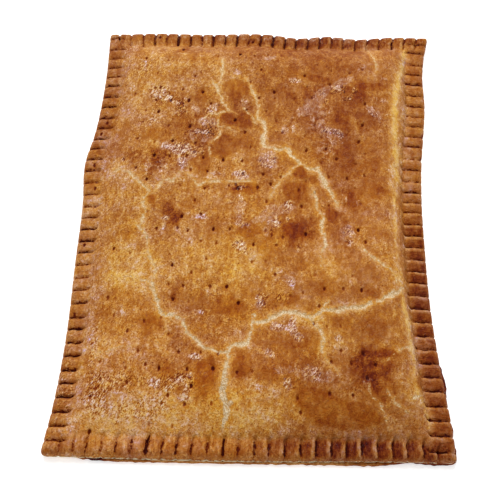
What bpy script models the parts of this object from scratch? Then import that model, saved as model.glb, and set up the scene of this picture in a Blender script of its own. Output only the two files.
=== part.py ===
# A baked tray empanada: a low domed top crust with crimped edges, closed over
# its filling, on a flat bottom crust whose edge shows under the front rim.
# +Z is up, the front edge is at -Y, and the part stands on the plane z = 0.

import bpy
import bmesh
import numpy as np

# Driving dimensions, in millimetres.
WIDTH = 300.0                # nominal size across, along X
LENGTH = 405.0               # nominal size front to back, along Y
CRIMPS_ACROSS = 27           # crimp lobes along the front and back edges
CRIMPS_ALONG = 36            # crimp lobes along each side edge
CORNER_RADIUS = 6.0

SHEET_THICKNESS = 3.7        # the flat bottom crust
SHEET_GAP = 0.3              # clearance between the two crusts
EDGE_HEIGHT = 6.2            # top crust's outermost line above the base plane
RIM_HEIGHT = 11.5            # top of the crimped rim
RIM_ROUNDING = 5.5           # how far in the rim reaches its full height
DOME_RISE = 13.5             # filling's height above the rim
UNDERCUT = 1.0               # how far the top crust's side leans in below

GROOVE_DEPTH = 2.8           # between two crimp lobes
GROOVE_HALF_WIDTH = 1.3
LOBE_FALL = 1.1              # how far a lobe rounds off towards its grooves
LOBE_SCALLOP = {"left": 0.5, "right": 1.2, "front": 0.7, "back": 1.4}
SCALLOP_REACH = 7.0          # the outline's dips at the grooves fade out over this
CRIMP_START = 3.5            # crimps fade in over this distance from the edge
CRIMP_FADE = (12.5, 19.0)    # and fade out between these distances

# The crimps were pressed by hand: grooves differ in depth and drift along the edge.
GROOVE_DEPTH_SPREAD = (0.5, 1.25)
GROOVE_JITTER = 0.7
CRIMP_SEEDS = {"left": 11, "right": 12, "front": 13, "back": 14}
CRIMP_DRIFT = {
    "left": ((-202, 0.6), (-20, 0.4), (100, -0.8), (202, 0.0)),
    "right": ((-202, 2.5), (-60, 1.4), (30, -3.0), (110, -2.6), (202, 0.0)),
    "front": ((-150, 0.0), (-90, -2.6), (-40, -4.0), (60, -2.0), (150, 0.0)),
    "back": ((-150, 0.0), (0, -0.6), (110, 0.8), (150, 0.0)),
}

# Distance in from each edge over which the dome rises to its full height.
SLOPES = {"left": (15.0, 70.0), "right": (17.5, 39.0), "front": (15.0, 70.0), "back": (14.0, 56.0)}

# How far each edge of the top crust bows out from the nominal rectangle:
# places along the edge and the distance there. Sides run along Y, ends along X.
OUTLINE = {
    "left": ((-202, 2.6), (-160, -1.8), (-112, -3.9), (-40, -2.6), (20, -1.4),
             (52, 1.4), (86, -3.4), (150, -6.3), (202, -4.6)),
    "right": ((-202, -0.4), (-177, -1.8), (-130, -7.3), (-80, -11.8), (-20, -13.3),
              (31, -13.1), (62, -11.4), (94, -7.8), (127, -4.9), (162, -4.7), (202, 2.4)),
    "front": ((-150, -0.2), (-100, -1.0), (-50, -1.3), (0, -1.9), (50, -3.3),
              (100, -4.7), (150, -5.2)),
    "back": ((-150, -4.5), (-112, -0.9), (-56, -0.2), (0, 1.8), (29, -1.8),
             (57, 1.3), (85, -1.2), (113, 2.0), (150, 2.2)),
}

# How far the bottom crust stands proud of the top crust along each edge.
SHEET_PROUD = {
    "left": ((-202, -0.8), (202, -0.8)),
    "right": ((-202, 0.6), (-110, 0.9), (-80, -0.8), (202, -0.8)),
    "front": ((-150, -0.8), (-122, -0.6), (-100, 2.4), (-50, 3.2), (0, 3.0), (50, 3.4),
              (96, 3.6), (118, 0.4), (132, 1.6), (150, -0.6)),
    "back": ((-150, -0.8), (150, -0.8)),
}
SHEET_RAGGEDNESS = 0.35
SHEET_LEAN = 0.7             # bottom crust's faces are this much smaller than its middle

# Grid lines across the rim, as distances in from the edge. The lines at 9.6,
# 11.1 and 12.6 follow the first groove of the edge that meets this one.
RIM_LINES = (0.0, 1.6, 4.6, 9.6, 11.1, 12.6, 16.6, 20.7)
GROOVE_SHOULDER = 1.5        # grid lines on both sides of a groove

CRUST_COLOUR = (0.47, 0.19, 0.045, 1.0)
SHEET_COLOUR = (0.36, 0.16, 0.05, 1.0)
MM = 0.001


def through_knots(knots, t):
    """Smooth curve through a few (place, value) knots, as a Hermite spline."""
    place, value = np.array(knots, dtype=float).T
    slope = np.gradient(value, place)
    t = np.clip(t, place[0], place[-1])
    i = np.clip(np.searchsorted(place, t) - 1, 0, len(place) - 2)
    span = place[i + 1] - place[i]
    s = (t - place[i]) / span
    bend = value[i] * (1 + 2 * s) * (1 - s) ** 2 + value[i + 1] * s * s * (3 - 2 * s)
    return bend + span * (slope[i] * s * (1 - s) ** 2 - slope[i + 1] * s * s * (1 - s))


def smooth_step(low, high, value):
    t = np.clip((value - low) / (high - low), 0.0, 1.0)
    return t * t * (3 - 2 * t)


def grid_lines(size, crimps):
    """Lines across one direction: the rims' own, and three or four to a crimp."""
    half = size / 2
    pitch = size / crimps
    near = [-half + distance for distance in RIM_LINES]
    inner = []
    for groove in range(2, crimps - 1):
        centre = -half + groove * pitch
        if groove > 2:
            inner.append(centre - pitch / 2)
            inner.append(centre - GROOVE_SHOULDER)
        inner.append(centre)
        if groove < crimps - 2:
            inner.append(centre + GROOVE_SHOULDER)
    far = [-line for line in reversed(near)]
    return np.array(near + inner + far)


def crimp(along, size, crimps):
    """Groove strength and lobe rounding at a place along an edge, both 0 to 1."""
    pitch = size / crimps
    phase = (along + size / 2) / pitch
    nearest_groove = np.round(phase)
    off_centre = 1 - 2 * np.abs(phase - nearest_groove)
    to_groove = (1 - off_centre) * pitch / 2
    # The two ends of an edge are corners and carry no groove of their own.
    inside = (nearest_groove > 0) & (nearest_groove < crimps)
    return inside * np.exp(-(to_groove / GROOVE_HALF_WIDTH) ** 2), inside * off_centre ** 2


def crimp_reach(distance):
    """How strongly an edge's crimps show at a distance in from that edge."""
    fade_in = 0.3 + 0.7 * smooth_step(0.0, CRIMP_START, distance)
    return fade_in * (1 - smooth_step(*CRIMP_FADE, distance))


def hand_pressing(side, along, size, crimps):
    """Groove depth and sideways drift along an edge, uneven from crimp to crimp."""
    random = np.random.default_rng(CRIMP_SEEDS[side])
    places = np.linspace(-size / 2, size / 2, crimps + 1)
    depths = random.uniform(*GROOVE_DEPTH_SPREAD, crimps + 1)
    shifts = random.uniform(-GROOVE_JITTER, GROOVE_JITTER, crimps + 1)
    shifts[0] = shifts[-1] = 0.0
    drift = np.interp(along, places, shifts) + through_knots(CRIMP_DRIFT[side], along)
    return np.interp(along, places, depths), drift


def place_on_outline(u, v, proud=None):
    """Plan position of nominal point (u, v): edges bowed, corners rounded."""
    half_width = WIDTH / 2
    half_length = LENGTH / 2
    radius = CORNER_RADIUS
    corner_u = np.clip(np.abs(u) - (half_width - radius), 0.0, radius) / radius
    corner_v = np.clip(np.abs(v) - (half_length - radius), 0.0, radius) / radius
    round_u = radius * corner_u * (1 - np.sqrt(1 - corner_v ** 2 / 2))
    round_v = radius * corner_v * (1 - np.sqrt(1 - corner_u ** 2 / 2))
    bow = {}
    for side, knots in OUTLINE.items():
        along = v if side in ("left", "right") else u
        bow[side] = through_knots(knots, along)
        if proud:
            bow[side] = bow[side] + through_knots(proud[side], along)
    share_u = u / WIDTH + 0.5
    share_v = v / LENGTH + 0.5
    x = u - np.sign(u) * round_u + bow["right"] * share_u - bow["left"] * (1 - share_u)
    y = v - np.sign(v) * round_v + bow["back"] * share_v - bow["front"] * (1 - share_v)
    return x, y


def edge_distances(u, v):
    return {
        "left": u + WIDTH / 2,
        "right": WIDTH / 2 - u,
        "front": v + LENGTH / 2,
        "back": LENGTH / 2 - v,
    }


def crust_surface(u, v):
    """Position of the top crust's upper side over nominal point (u, v)."""
    distance = edge_distances(u, v)
    across = crimp(u, WIDTH, CRIMPS_ACROSS)
    along = crimp(v, LENGTH, CRIMPS_ALONG)
    x, y = place_on_outline(u, v)
    nearest = np.minimum.reduce(list(distance.values()))

    # The rim rounds over from the edge, as a quarter of an ellipse.
    rounding = 1 - np.clip(nearest / RIM_ROUNDING, 0.0, 1.0)
    z = EDGE_HEIGHT + (RIM_HEIGHT - EDGE_HEIGHT) * np.sqrt(1 - rounding ** 2)

    # Crimps cut into it from each edge, and dent the outline there.
    for side, gap in distance.items():
        is_end = side in ("front", "back")
        groove, fall = across if is_end else along
        if is_end:
            depth, drift = hand_pressing(side, u, WIDTH, CRIMPS_ACROSS)
        else:
            depth, drift = hand_pressing(side, v, LENGTH, CRIMPS_ALONG)
        z = z - crimp_reach(gap) * (GROOVE_DEPTH * depth * groove + LOBE_FALL * fall)
        inward = 1 if side in ("left", "front") else -1
        dent = inward * LOBE_SCALLOP[side] * groove * np.clip(1 - gap / SCALLOP_REACH, 0.0, 1.0)
        drift = drift * (1 - smooth_step(*CRIMP_FADE, gap))
        x = x + (drift if is_end else dent)
        y = y + (dent if is_end else drift)

    # The filling lifts the middle: quickly at first from each edge, then level.
    dome = np.ones_like(z)
    for side, gap in distance.items():
        start, end = SLOPES[side]
        climb = np.clip((gap - start) / (end - start), 0.0, 1.0)
        dome = dome * (1 - (1 - climb) ** 2.4)
    swell = 0.9 * np.sin(u / 31 + 1.3) * np.sin(v / 37 + 0.4) + 0.6 * np.sin(u / 19 - v / 27 + 2)
    return x, y, z + dome * (DOME_RISE + swell)


def make_material(name, colour, roughness):
    material = bpy.data.materials.new(name)
    material.use_nodes = True
    shader = material.node_tree.nodes["Principled BSDF"]
    shader.inputs["Base Color"].default_value = colour
    shader.inputs["Roughness"].default_value = roughness
    shader.inputs["Metallic"].default_value = 0.0
    material.diffuse_color = colour
    return material


def finish_object(name, bm, material):
    bmesh.ops.triangulate(bm, faces=[face for face in bm.faces if len(face.verts) < 20])
    bmesh.ops.recalc_face_normals(bm, faces=bm.faces)
    mesh = bpy.data.meshes.new(name)
    bm.to_mesh(mesh)
    bm.free()
    mesh.shade_smooth()
    mesh.set_sharp_from_angle(angle=np.radians(60))
    mesh.materials.append(material)
    part = bpy.data.objects.new(name, mesh)
    bpy.context.scene.collection.objects.link(part)
    return part


def make_top_crust(centre):
    """Fine grid on the rim and a coarse one inside it, closed by side and underside."""
    us = grid_lines(WIDTH, CRIMPS_ACROSS)
    vs = grid_lines(LENGTH, CRIMPS_ALONG)
    grid_u, grid_v = np.meshgrid(us, vs, indexing="ij")
    x, y, z = crust_surface(grid_u, grid_v)
    x = (x - centre[0]) * MM
    y = (y - centre[1]) * MM
    z = z * MM
    last_u = len(us) - 1
    last_v = len(vs) - 1
    rim = len(RIM_LINES) - 1
    # Coarse lines pass through the middle of each lobe.
    coarse_u = [rim] + list(range(rim + 3, last_u - rim - 1, 4)) + [last_u - rim]
    coarse_v = [rim] + list(range(rim + 3, last_v - rim - 1, 4)) + [last_v - rim]

    bm = bmesh.new()
    grid = {}

    def corner(i, j):
        if (i, j) not in grid:
            grid[i, j] = bm.verts.new((x[i, j], y[i, j], z[i, j]))
        return grid[i, j]

    for i in range(last_u):
        for j in range(last_v):
            if rim <= i < last_u - rim and rim <= j < last_v - rim:
                continue
            bm.faces.new((corner(i, j), corner(i + 1, j), corner(i + 1, j + 1), corner(i, j + 1)))

    for i0, i1 in zip(coarse_u, coarse_u[1:]):
        for j0, j1 in zip(coarse_v, coarse_v[1:]):
            # A cell beside the rim takes in all of the rim's own vertices.
            step_front = 1 if j0 == rim else i1 - i0
            step_right = 1 if i1 == last_u - rim else j1 - j0
            step_back = 1 if j1 == last_v - rim else i1 - i0
            step_left = 1 if i0 == rim else j1 - j0
            loop = [(i, j0) for i in range(i0, i1, step_front)]
            loop += [(i1, j) for j in range(j0, j1, step_right)]
            loop += [(i, j1) for i in range(i1, i0, -step_back)]
            loop += [(i0, j) for j in range(j1, j0, -step_left)]
            bm.faces.new([corner(i, j) for i, j in loop])

    border = [(i, 0) for i in range(last_u)]
    border += [(last_u, j) for j in range(last_v)]
    border += [(i, last_v) for i in range(last_u, 0, -1)]
    border += [(0, j) for j in range(last_v, 0, -1)]
    underside = (SHEET_THICKNESS + SHEET_GAP) * MM
    lower = []
    for i, j in border:
        lean = np.array([-np.sign(us[i]) * (i in (0, last_u)), -np.sign(vs[j]) * (j in (0, last_v))])
        spot = np.array([x[i, j], y[i, j]]) + lean * UNDERCUT * MM
        lower.append(bm.verts.new((spot[0], spot[1], underside)))
    for k, (i, j) in enumerate(border):
        after = (k + 1) % len(border)
        bm.faces.new((corner(i, j), lower[k], lower[after], corner(*border[after])))
    bm.faces.new(list(reversed(lower)))
    return finish_object("top_crust", bm, make_material("BakedTopCrust", CRUST_COLOUR, 0.42))


def sheet_border(per_crimp):
    """Nominal points round the rectangle, and the way out at each of them."""
    us = np.linspace(-WIDTH / 2, WIDTH / 2, CRIMPS_ACROSS * per_crimp + 1)
    vs = np.linspace(-LENGTH / 2, LENGTH / 2, CRIMPS_ALONG * per_crimp + 1)
    border = [(u, vs[0], 0, -1) for u in us[:-1]]
    border += [(us[-1], v, 1, 0) for v in vs[:-1]]
    border += [(u, vs[-1], 0, 1) for u in us[:0:-1]]
    border += [(us[0], v, -1, 0) for v in vs[:0:-1]]
    return np.array(border)


def make_bottom_crust(centre):
    """Flat sheet with an uneven edge, fullest halfway up."""
    border = sheet_border(per_crimp=2)
    x, y = place_on_outline(border[:, 0], border[:, 1], SHEET_PROUD)
    uneven = np.random.default_rng(7).uniform(-SHEET_RAGGEDNESS, SHEET_RAGGEDNESS, len(border))
    bm = bmesh.new()
    rings = []
    for height, lean in ((0.0, SHEET_LEAN), (SHEET_THICKNESS / 2, 0.0), (SHEET_THICKNESS, SHEET_LEAN)):
        out = uneven - lean
        ring_x = (x + border[:, 2] * out - centre[0]) * MM
        ring_y = (y + border[:, 3] * out - centre[1]) * MM
        rings.append([bm.verts.new((px, py, height * MM)) for px, py in zip(ring_x, ring_y)])
    for low, high in zip(rings, rings[1:]):
        for k in range(len(low)):
            after = (k + 1) % len(low)
            bm.faces.new((low[k], low[after], high[after], high[k]))
    bm.faces.new(list(reversed(rings[0])))
    bm.faces.new(rings[-1])
    return finish_object("bottom_crust", bm, make_material("BakedBottomCrust", SHEET_COLOUR, 0.7))


def plan_centre():
    """Middle of the two crusts' common box, which becomes the part's origin."""
    border = sheet_border(per_crimp=2)
    top = place_on_outline(border[:, 0], border[:, 1])
    sheet = place_on_outline(border[:, 0], border[:, 1], SHEET_PROUD)
    spread = [np.concatenate((a, b)) for a, b in zip(top, sheet)]
    return [(axis.min() + axis.max()) / 2 for axis in spread]


def main():
    for old in list(bpy.data.objects):
        bpy.data.objects.remove(old, do_unlink=True)
    centre = plan_centre()
    make_top_crust(centre)
    make_bottom_crust(centre)


main()
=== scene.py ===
import math

import bpy
import numpy as np
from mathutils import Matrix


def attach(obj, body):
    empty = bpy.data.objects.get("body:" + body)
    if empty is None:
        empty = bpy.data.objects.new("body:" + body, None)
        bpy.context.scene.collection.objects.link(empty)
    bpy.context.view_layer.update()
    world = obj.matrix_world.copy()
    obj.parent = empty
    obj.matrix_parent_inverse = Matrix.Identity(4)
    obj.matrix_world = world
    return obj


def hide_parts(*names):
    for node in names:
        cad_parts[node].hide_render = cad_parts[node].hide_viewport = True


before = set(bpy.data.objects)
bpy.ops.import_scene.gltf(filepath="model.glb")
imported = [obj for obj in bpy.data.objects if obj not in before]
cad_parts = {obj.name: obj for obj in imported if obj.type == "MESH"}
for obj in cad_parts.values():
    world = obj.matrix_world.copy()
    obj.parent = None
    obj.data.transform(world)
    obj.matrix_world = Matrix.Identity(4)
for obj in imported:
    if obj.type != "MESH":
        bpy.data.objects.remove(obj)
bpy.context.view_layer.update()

mm = 0.001
farAway = 99.0           # mm, beyond the reach of any crack, groove or hole

view = {
    "place": (6.3, -383.2, 649.0),       # mm
    "turn": 2.0, "down": 60.956,         # degrees to the left of +Y, and below level
    "lens": 64.8, "sensor": 36.0,
    "readingLevel": 20.0,                # the marks below are read on a level this high, in mm
}


def linearColour(hexText):
    # sRGB hex to linear light: straight near black, a power of 2.4 above
    channels = [int(hexText[i:i + 2], 16) / 255 for i in (0, 2, 4)]
    return [c / 12.92 if c <= 0.04045 else ((c + 0.055) / 1.055) ** 2.4 for c in channels] + [1.0]


def smoothStep(low, high, value):
    # 0 below low, 1 above high, an S curve between
    t = np.clip((value - low) / (high - low), 0.0, 1.0)
    return t * t * (3 - 2 * t)


def throughKnots(knots, t):
    # (place, value) knots joined by Hermite curves, whose slopes come from the neighbouring knots
    place, value = np.array(knots, dtype=float).T
    slope = np.gradient(value, place)
    t = np.clip(t, place[0], place[-1])
    i = np.clip(np.searchsorted(place, t) - 1, 0, len(place) - 2)
    span = place[i + 1] - place[i]
    s = (t - place[i]) / span
    bend = value[i] * (1 + 2 * s) * (1 - s) ** 2 + value[i + 1] * s * s * (3 - 2 * s)
    return bend + span * (slope[i] * s * (1 - s) ** 2 - slope[i + 1] * s * s * (1 - s))


def unevenness(x, y, size, seed, cells=64):
    # random heights from -1 to 1 on a square lattice, whose cells are size mm wide, blended by an
    # S curve; the lattice repeats after so many cells
    heights = np.random.default_rng(seed).uniform(-1, 1, (cells, cells))
    gx, gy = np.asarray(x) / size, np.asarray(y) / size
    ix, iy = np.floor(gx).astype(int), np.floor(gy).astype(int)
    fx, fy = gx - ix, gy - iy
    fx, fy = fx * fx * (3 - 2 * fx), fy * fy * (3 - 2 * fy)
    left, right, front, back = ix % cells, (ix + 1) % cells, iy % cells, (iy + 1) % cells
    near = heights[left, front] * (1 - fx) + heights[right, front] * fx
    far = heights[left, back] * (1 - fx) + heights[right, back] * fx
    return near * (1 - fy) + far * fy


def shaken(x, y, offsets):
    # a place moved by a sum of uneven offsets, each (mm, size in mm, seed along x, seed along y)
    moveX = sum(far * unevenness(x, y, size, seed) for far, size, seed, _ in offsets)
    moveY = sum(far * unevenness(x, y, size, seed) for far, size, _, seed in offsets)
    return x + moveX, y + moveY


def gapToPath(x, y, knots, reach=12.0, stepLength=3.0):
    # distance in mm to a path less its half width there, within a reach of it; the path runs through
    # its (x, y, half width) knots as Hermite curves, cut into straight steps
    knots = np.array(knots, dtype=float)
    length = np.concatenate(([0], np.cumsum(np.hypot(*np.diff(knots[:, :2], axis=0).T))))
    steps = np.linspace(0, length[-1], max(4, int(length[-1] / stepLength)))
    pathX, pathY, half = [throughKnots(np.column_stack((length, knots[:, k])), steps) for k in range(3)]
    near = ((x > pathX.min() - reach) & (x < pathX.max() + reach)
            & (y > pathY.min() - reach) & (y < pathY.max() + reach))
    px, py = x[near], y[near]
    best = np.full(px.shape, farAway)
    for k in range(len(steps) - 1):
        stepX, stepY = pathX[k + 1] - pathX[k], pathY[k + 1] - pathY[k]
        t = ((px - pathX[k]) * stepX + (py - pathY[k]) * stepY) / (stepX ** 2 + stepY ** 2)
        t = np.clip(t, 0, 1)
        away = np.hypot(px - pathX[k] - t * stepX, py - pathY[k] - t * stepY)
        best = np.minimum(best, away - half[k] * (1 - t) - half[k + 1] * t)
    gap = np.full(x.shape, farAway)
    gap[near] = best
    return gap


pie = {
    "width": 300.0, "length": 405.0,
    "crimpsAcross": 27, "crimpsAlong": 36,
    "cornerRadius": 4.5,
    "sheetThickness": 3.7, "sheetGap": 0.3,
    # how far each edge bows out from the rectangle: (place along it, distance)
    "outline": {
        "left": ((-202, 2.6), (-160, -1.8), (-112, -3.9), (-40, -2.6), (20, -1.4),
                 (52, 1.4), (86, -3.4), (150, -6.3), (202, -4.6)),
        "right": ((-202, -0.4), (-177, -1.8), (-130, -7.3), (-80, -11.8), (-20, -13.3),
                  (31, -13.1), (62, -11.4), (94, -7.8), (127, -4.9), (162, -4.7), (202, 2.4)),
        "front": ((-150, -0.2), (-100, -1.0), (-50, -1.3), (0, -1.9), (50, -3.3),
                  (100, -4.7), (150, -5.2)),
        "back": ((-150, -4.5), (-112, -0.9), (-56, -0.2), (0, 1.8), (29, -1.8),
                 (57, 1.3), (85, -1.2), (113, 2.0), (150, 2.2)),
    },
}


def placeOnOutline(u, v, proud=None):
    # the rectangle's point (u, v), moved out with the edges' bows in proportion to how near
    # each edge is; the corner squares are squeezed into quarter discs
    radius = pie["cornerRadius"]
    cornerU = np.clip(np.abs(u) - (pie["width"] / 2 - radius), 0.0, radius) / radius
    cornerV = np.clip(np.abs(v) - (pie["length"] / 2 - radius), 0.0, radius) / radius
    roundU = radius * cornerU * (1 - np.sqrt(1 - cornerV ** 2 / 2))
    roundV = radius * cornerV * (1 - np.sqrt(1 - cornerU ** 2 / 2))
    bow = {}
    for side, knots in pie["outline"].items():
        along = v if side in ("left", "right") else u
        bow[side] = throughKnots(knots, along) + (throughKnots(proud[side], along) if proud else 0)
    shareU, shareV = u / pie["width"] + 0.5, v / pie["length"] + 0.5
    x = u - np.sign(u) * roundU + bow["right"] * shareU - bow["left"] * (1 - shareU)
    y = v - np.sign(v) * roundV + bow["back"] * shareV - bow["front"] * (1 - shareV)
    return x, y


def distancesIn(u, v):
    # how far in from each edge of the rectangle a point lies
    return {"left": u + pie["width"] / 2, "right": pie["width"] / 2 - u,
            "front": v + pie["length"] / 2, "back": pie["length"] / 2 - v}


rim = {
    "edgeHeight": 6.2, "height": 11.5, "rounding": 5.5,
    "grooveDepth": 2.3, "grooveHalfWidth": 0.85,
    # the grooves' places below were read at this height and this far in
    "grooveHeight": 9.0, "grooveIn": 8.0,
    "lobeFall": 1.0,         # how much lower a lobe is beside its grooves than in its middle
    # how far each groove dents the edge, and how far in that reaches
    "scallop": {"left": 0.5, "right": 1.2, "front": 0.7, "back": 1.4}, "scallopReach": 7.0,
    # crimps reach full depth this far in, and fade out between the next two distances
    "crimpStart": 3.5,
    "crimpFade": {"left": (12.5, 19.0), "right": (17.0, 22.5), "front": (12.5, 19.0),
                  "back": (16.5, 22.0)},
    "grooveBend": 0.7,       # how far a groove wanders from straight
    "lineUneven": 2.2,       # how unevenly long the dark lines are
    # where a groove's dark line, painted shade in its crease, starts and ends, in from each edge
    "lineStart": {"left": (0.4, 2.2), "right": (1.2, 3.4), "front": (0.6, 2.6), "back": (0.4, 2.0)},
    "lineEnd": {"left": (13.5, 17.5), "right": (16.0, 20.0), "front": (11.0, 16.0),
                "back": (15.0, 20.0)},
    # painted shade: how much darker the crust is drawn beside a groove
    "grooveShade": {"left": 0.08, "right": 0.04, "front": 0.08, "back": 0.06},
    # how far a lobe is pressed into a scoop with a ridge on one side, 0 to 1, along each edge
    "scoop": {
        "left": ((-202, 0.1), (202, 0.1)),
        "right": ((-202, 0.6), (-150, 0.5), (-60, 0.9), (0, 0.7), (40, 0.25), (120, 0.1), (202, 0.2)),
        "front": ((-150, 0.0), (-30, 0.05), (10, 0.35), (40, 0.9), (120, 1.0), (150, 0.6)),
        "back": ((-150, 0.1), (0, 0.1), (50, 0.4), (150, 0.3)),
    },
    "scoopDepth": 2.0,
    # browning of the rim along each edge, beside the crust's own
    "browning": {
        "left": ((-202, 0.09), (-160, 0.06), (-90, 0.04), (0, 0.02), (60, 0.08), (202, 0.10)),
        "right": ((-202, 0.12), (-150, 0.11), (-110, 0.14), (-50, 0.18), (10, 0.08), (60, 0.01),
                  (110, 0.01), (150, 0.04), (202, 0.05)),
        "front": ((-150, 0.08), (-110, 0.05), (-60, 0.05), (0, 0.06), (50, 0.13), (150, 0.16)),
        "back": ((-150, 0.15), (-90, 0.12), (0, 0.12), (60, 0.12), (100, 0.10), (150, 0.11)),
    },
}
# Each groove pressed between two lobes: its place along the edge, and how deep and dark it is; the dark
# is painted shade in the crease.
grooves = {
    "front": ((-136, .3), (-126, .3), (-117, .7), (-106, .25), (-96, .75), (-85, .7), (-74, 1.3),
              (-63, .7), (-52.7, .9), (-42, .7), (-30.7, .55), (-19.3, 1.2), (-8.7, .5), (3, .85),
              (13, .7), (24.4, .95), (35.6, .9), (46.7, .9), (57.7, .85), (68.3, .85), (79.3, .8),
              (90.7, .75), (101.3, .7), (111.7, .7), (123.3, .8), (133.3, .6)),
    "back": ((-133.3, .6), (-122.7, .4), (-111, .5), (-100.3, .9), (-89.3, .5), (-79, 1.3), (-67.6, 1.0),
             (-57.3, .7), (-47, 1.0), (-35.7, 1.0), (-25, 1.1), (-14, .6), (-3.3, .8), (8, 1.2),
             (19, 1.0), (28.7, .8), (39.6, .8), (50.4, .6), (61.3, .5), (72, .7), (82.7, .35),
             (93.3, .3), (104.7, .5), (116.7, .9), (127.3, .4), (138, .3)),
    "left": ((-195, .5), (-184.3, .8), (-174, .75), (-162.3, 1.1), (-151.7, 1.0), (-141.7, 1.1),
             (-130, .9), (-119.4, .9), (-108, 1.1), (-98.6, .75), (-86.3, .8), (-75, .6), (-64.7, .25),
             (-52.7, .6), (-41.3, 1.0), (-31.3, 1.1), (-20, .95), (-9, .7), (1.3, .5), (13.3, .5),
             (24.7, .5), (36.7, .8), (48.4, .8), (59.3, .6), (69.3, .9), (80.7, .75), (91.3, .95),
             (104, 1.0), (114.7, .9), (127.3, .85), (137.3, .4), (148, .55), (158.7, .3), (169.3, .55),
             (182.7, .3)),
    "right": ((-194.3, 1.0), (-182.3, .9), (-171, .9), (-160.3, 1.0), (-148.7, 1.0), (-137.7, .8),
              (-127, 1.0), (-115.7, 1.0), (-105, .9), (-93.3, .8), (-82.3, 1.0), (-71, .9), (-60, .8),
              (-50, 1.0), (-39.3, .75), (-28, .8), (-17.3, .95), (-6.7, .55), (4.7, .4), (14, .3),
              (24, 1.0), (34.7, .35), (46.7, .65), (57.3, .3), (70.5, .5), (80.7, .4), (92, .5),
              (102, .3), (113.3, .7), (125.3, .65), (137.6, .75), (149, .5), (160, .4), (174.4, .75),
              (184.5, .35)),
}
dome = {
    "rise": 13.5, "steepness": 2.4,
    "swells": (0.9, 0.6),    # mm, the heights of two long waves of the filling
    # uneven relief: height and size in mm, and seed
    "lumps": ((0.26, 17, 31), (0.12, 7, 32)), "skin": (0.07, 3.4, 33), "driedFilm": (0.14, 2.6, 35),
    # distance in from each edge where the filling starts to lift the crust, and where it is level
    "slopes": {"left": (15.0, 70.0), "right": (17.5, 41.0), "front": (15.0, 70.0),
               "back": (17.0, 56.0)},
}
grid = {
    "steps": 9,              # lines to one crimp
    # how strongly lines gather at the rim's grooves, and the powers by which they close in on the
    # rounded edge and on a docking hole
    "grooveDraw": 0.5, "edgeDraw": 1.5, "holeDraw": 0.55,
    "drawFade": (15.0, 26.0),    # mm in from the edge, where the gathering at grooves fades out
}


def domeLift(gaps):
    # the filling lifts the middle: quickly at first from each edge, then level
    lift = 1.0
    for side, gap in gaps.items():
        start, end = dome["slopes"][side]
        lift = lift * (1 - (1 - np.clip((gap - start) / (end - start), 0.0, 1.0)) ** dome["steepness"])
    return lift


def ontoCrust(x, y, height=None):
    # a place read on the reading level, slid along the camera's line of sight to the crust there
    eyeX, eyeY, eyeZ = view["place"]
    level = view["readingLevel"]
    x, y = np.array(x, dtype=float), np.array(y, dtype=float)
    realX, realY = x, y
    for _ in range(3):
        if height is None:
            gaps = distancesIn(realX, realY)
            for side, knots in pie["outline"].items():
                along = realY if side in ("left", "right") else realX
                gaps[side] = gaps[side] + throughKnots(knots, along)
            real = rim["height"] + dome["rise"] * domeLift(gaps)
        else:
            real = height
        share = (real - level) / (eyeZ - level)
        realX, realY = x - share * (x - eyeX), y - share * (y - eyeY)
    return realX, realY


def crimpPhase(along, size, crimps):
    # groove nearness (a bell curve), lobe rounding and place within the lobe, 0 to 1 each, and the
    # distance to the nearest groove in mm
    phase = (along + size / 2) * crimps / size
    nearest = np.round(phase)
    offCentre = 1 - 2 * np.abs(phase - nearest)
    toGroove = (1 - offCentre) * size / crimps / 2
    inside = (nearest > 0) & (nearest < crimps)
    groove = inside * np.exp(-(toGroove / rim["grooveHalfWidth"]) ** 2)
    return groove, inside * offCentre ** 2, phase - np.floor(phase), np.where(inside, toGroove, farAway)


def handPressing(side, along, size, crimps):
    # each groove's strength and its shift from an even spacing, by straight lines along the edge
    even = np.linspace(-size / 2, size / 2, crimps + 1)
    places, strengths = np.array(grooves[side]).T
    isEnd = side in ("front", "back")
    edge = (pie["length"] if isEnd else pie["width"]) / 2 - rim["grooveIn"]
    edge = np.full(crimps - 1, edge if side in ("back", "right") else -edge)
    if isEnd:
        real = ontoCrust(places, edge, rim["grooveHeight"])[0]
        base = placeOnOutline(even[1:-1], edge)[0]
    else:
        real = ontoCrust(edge, places, rim["grooveHeight"])[1]
        base = placeOnOutline(edge, even[1:-1])[1]
    shifts = np.concatenate(([0.0], real - base, [0.0]))
    strengths = np.concatenate((strengths[:1], strengths, strengths[-1:]))
    return np.interp(along, even, strengths), np.interp(along, even, shifts)


def gatheredLines(size, crimps):
    # even lines, and the same lines drawn towards the grooves by a sine in each lobe
    steps = np.arange(crimps * grid["steps"] + 1) / grid["steps"]
    pitch = size / crimps
    even = -size / 2 + steps * pitch
    drawn = even - grid["grooveDraw"] * np.sin(2 * np.pi * steps) / (2 * np.pi) * pitch
    return even, drawn


def gatherAtEdge(along, size):
    # lines within the rim's rounding move outwards, as a power of their distance to the edge
    gap = size / 2 - np.abs(along)
    reach = rim["rounding"]
    near = np.clip(gap / reach, 0.0, 1.0)
    drawn = np.sign(along) * (size / 2 - reach * near ** grid["edgeDraw"])
    return np.where(gap < reach, drawn, along)


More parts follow.
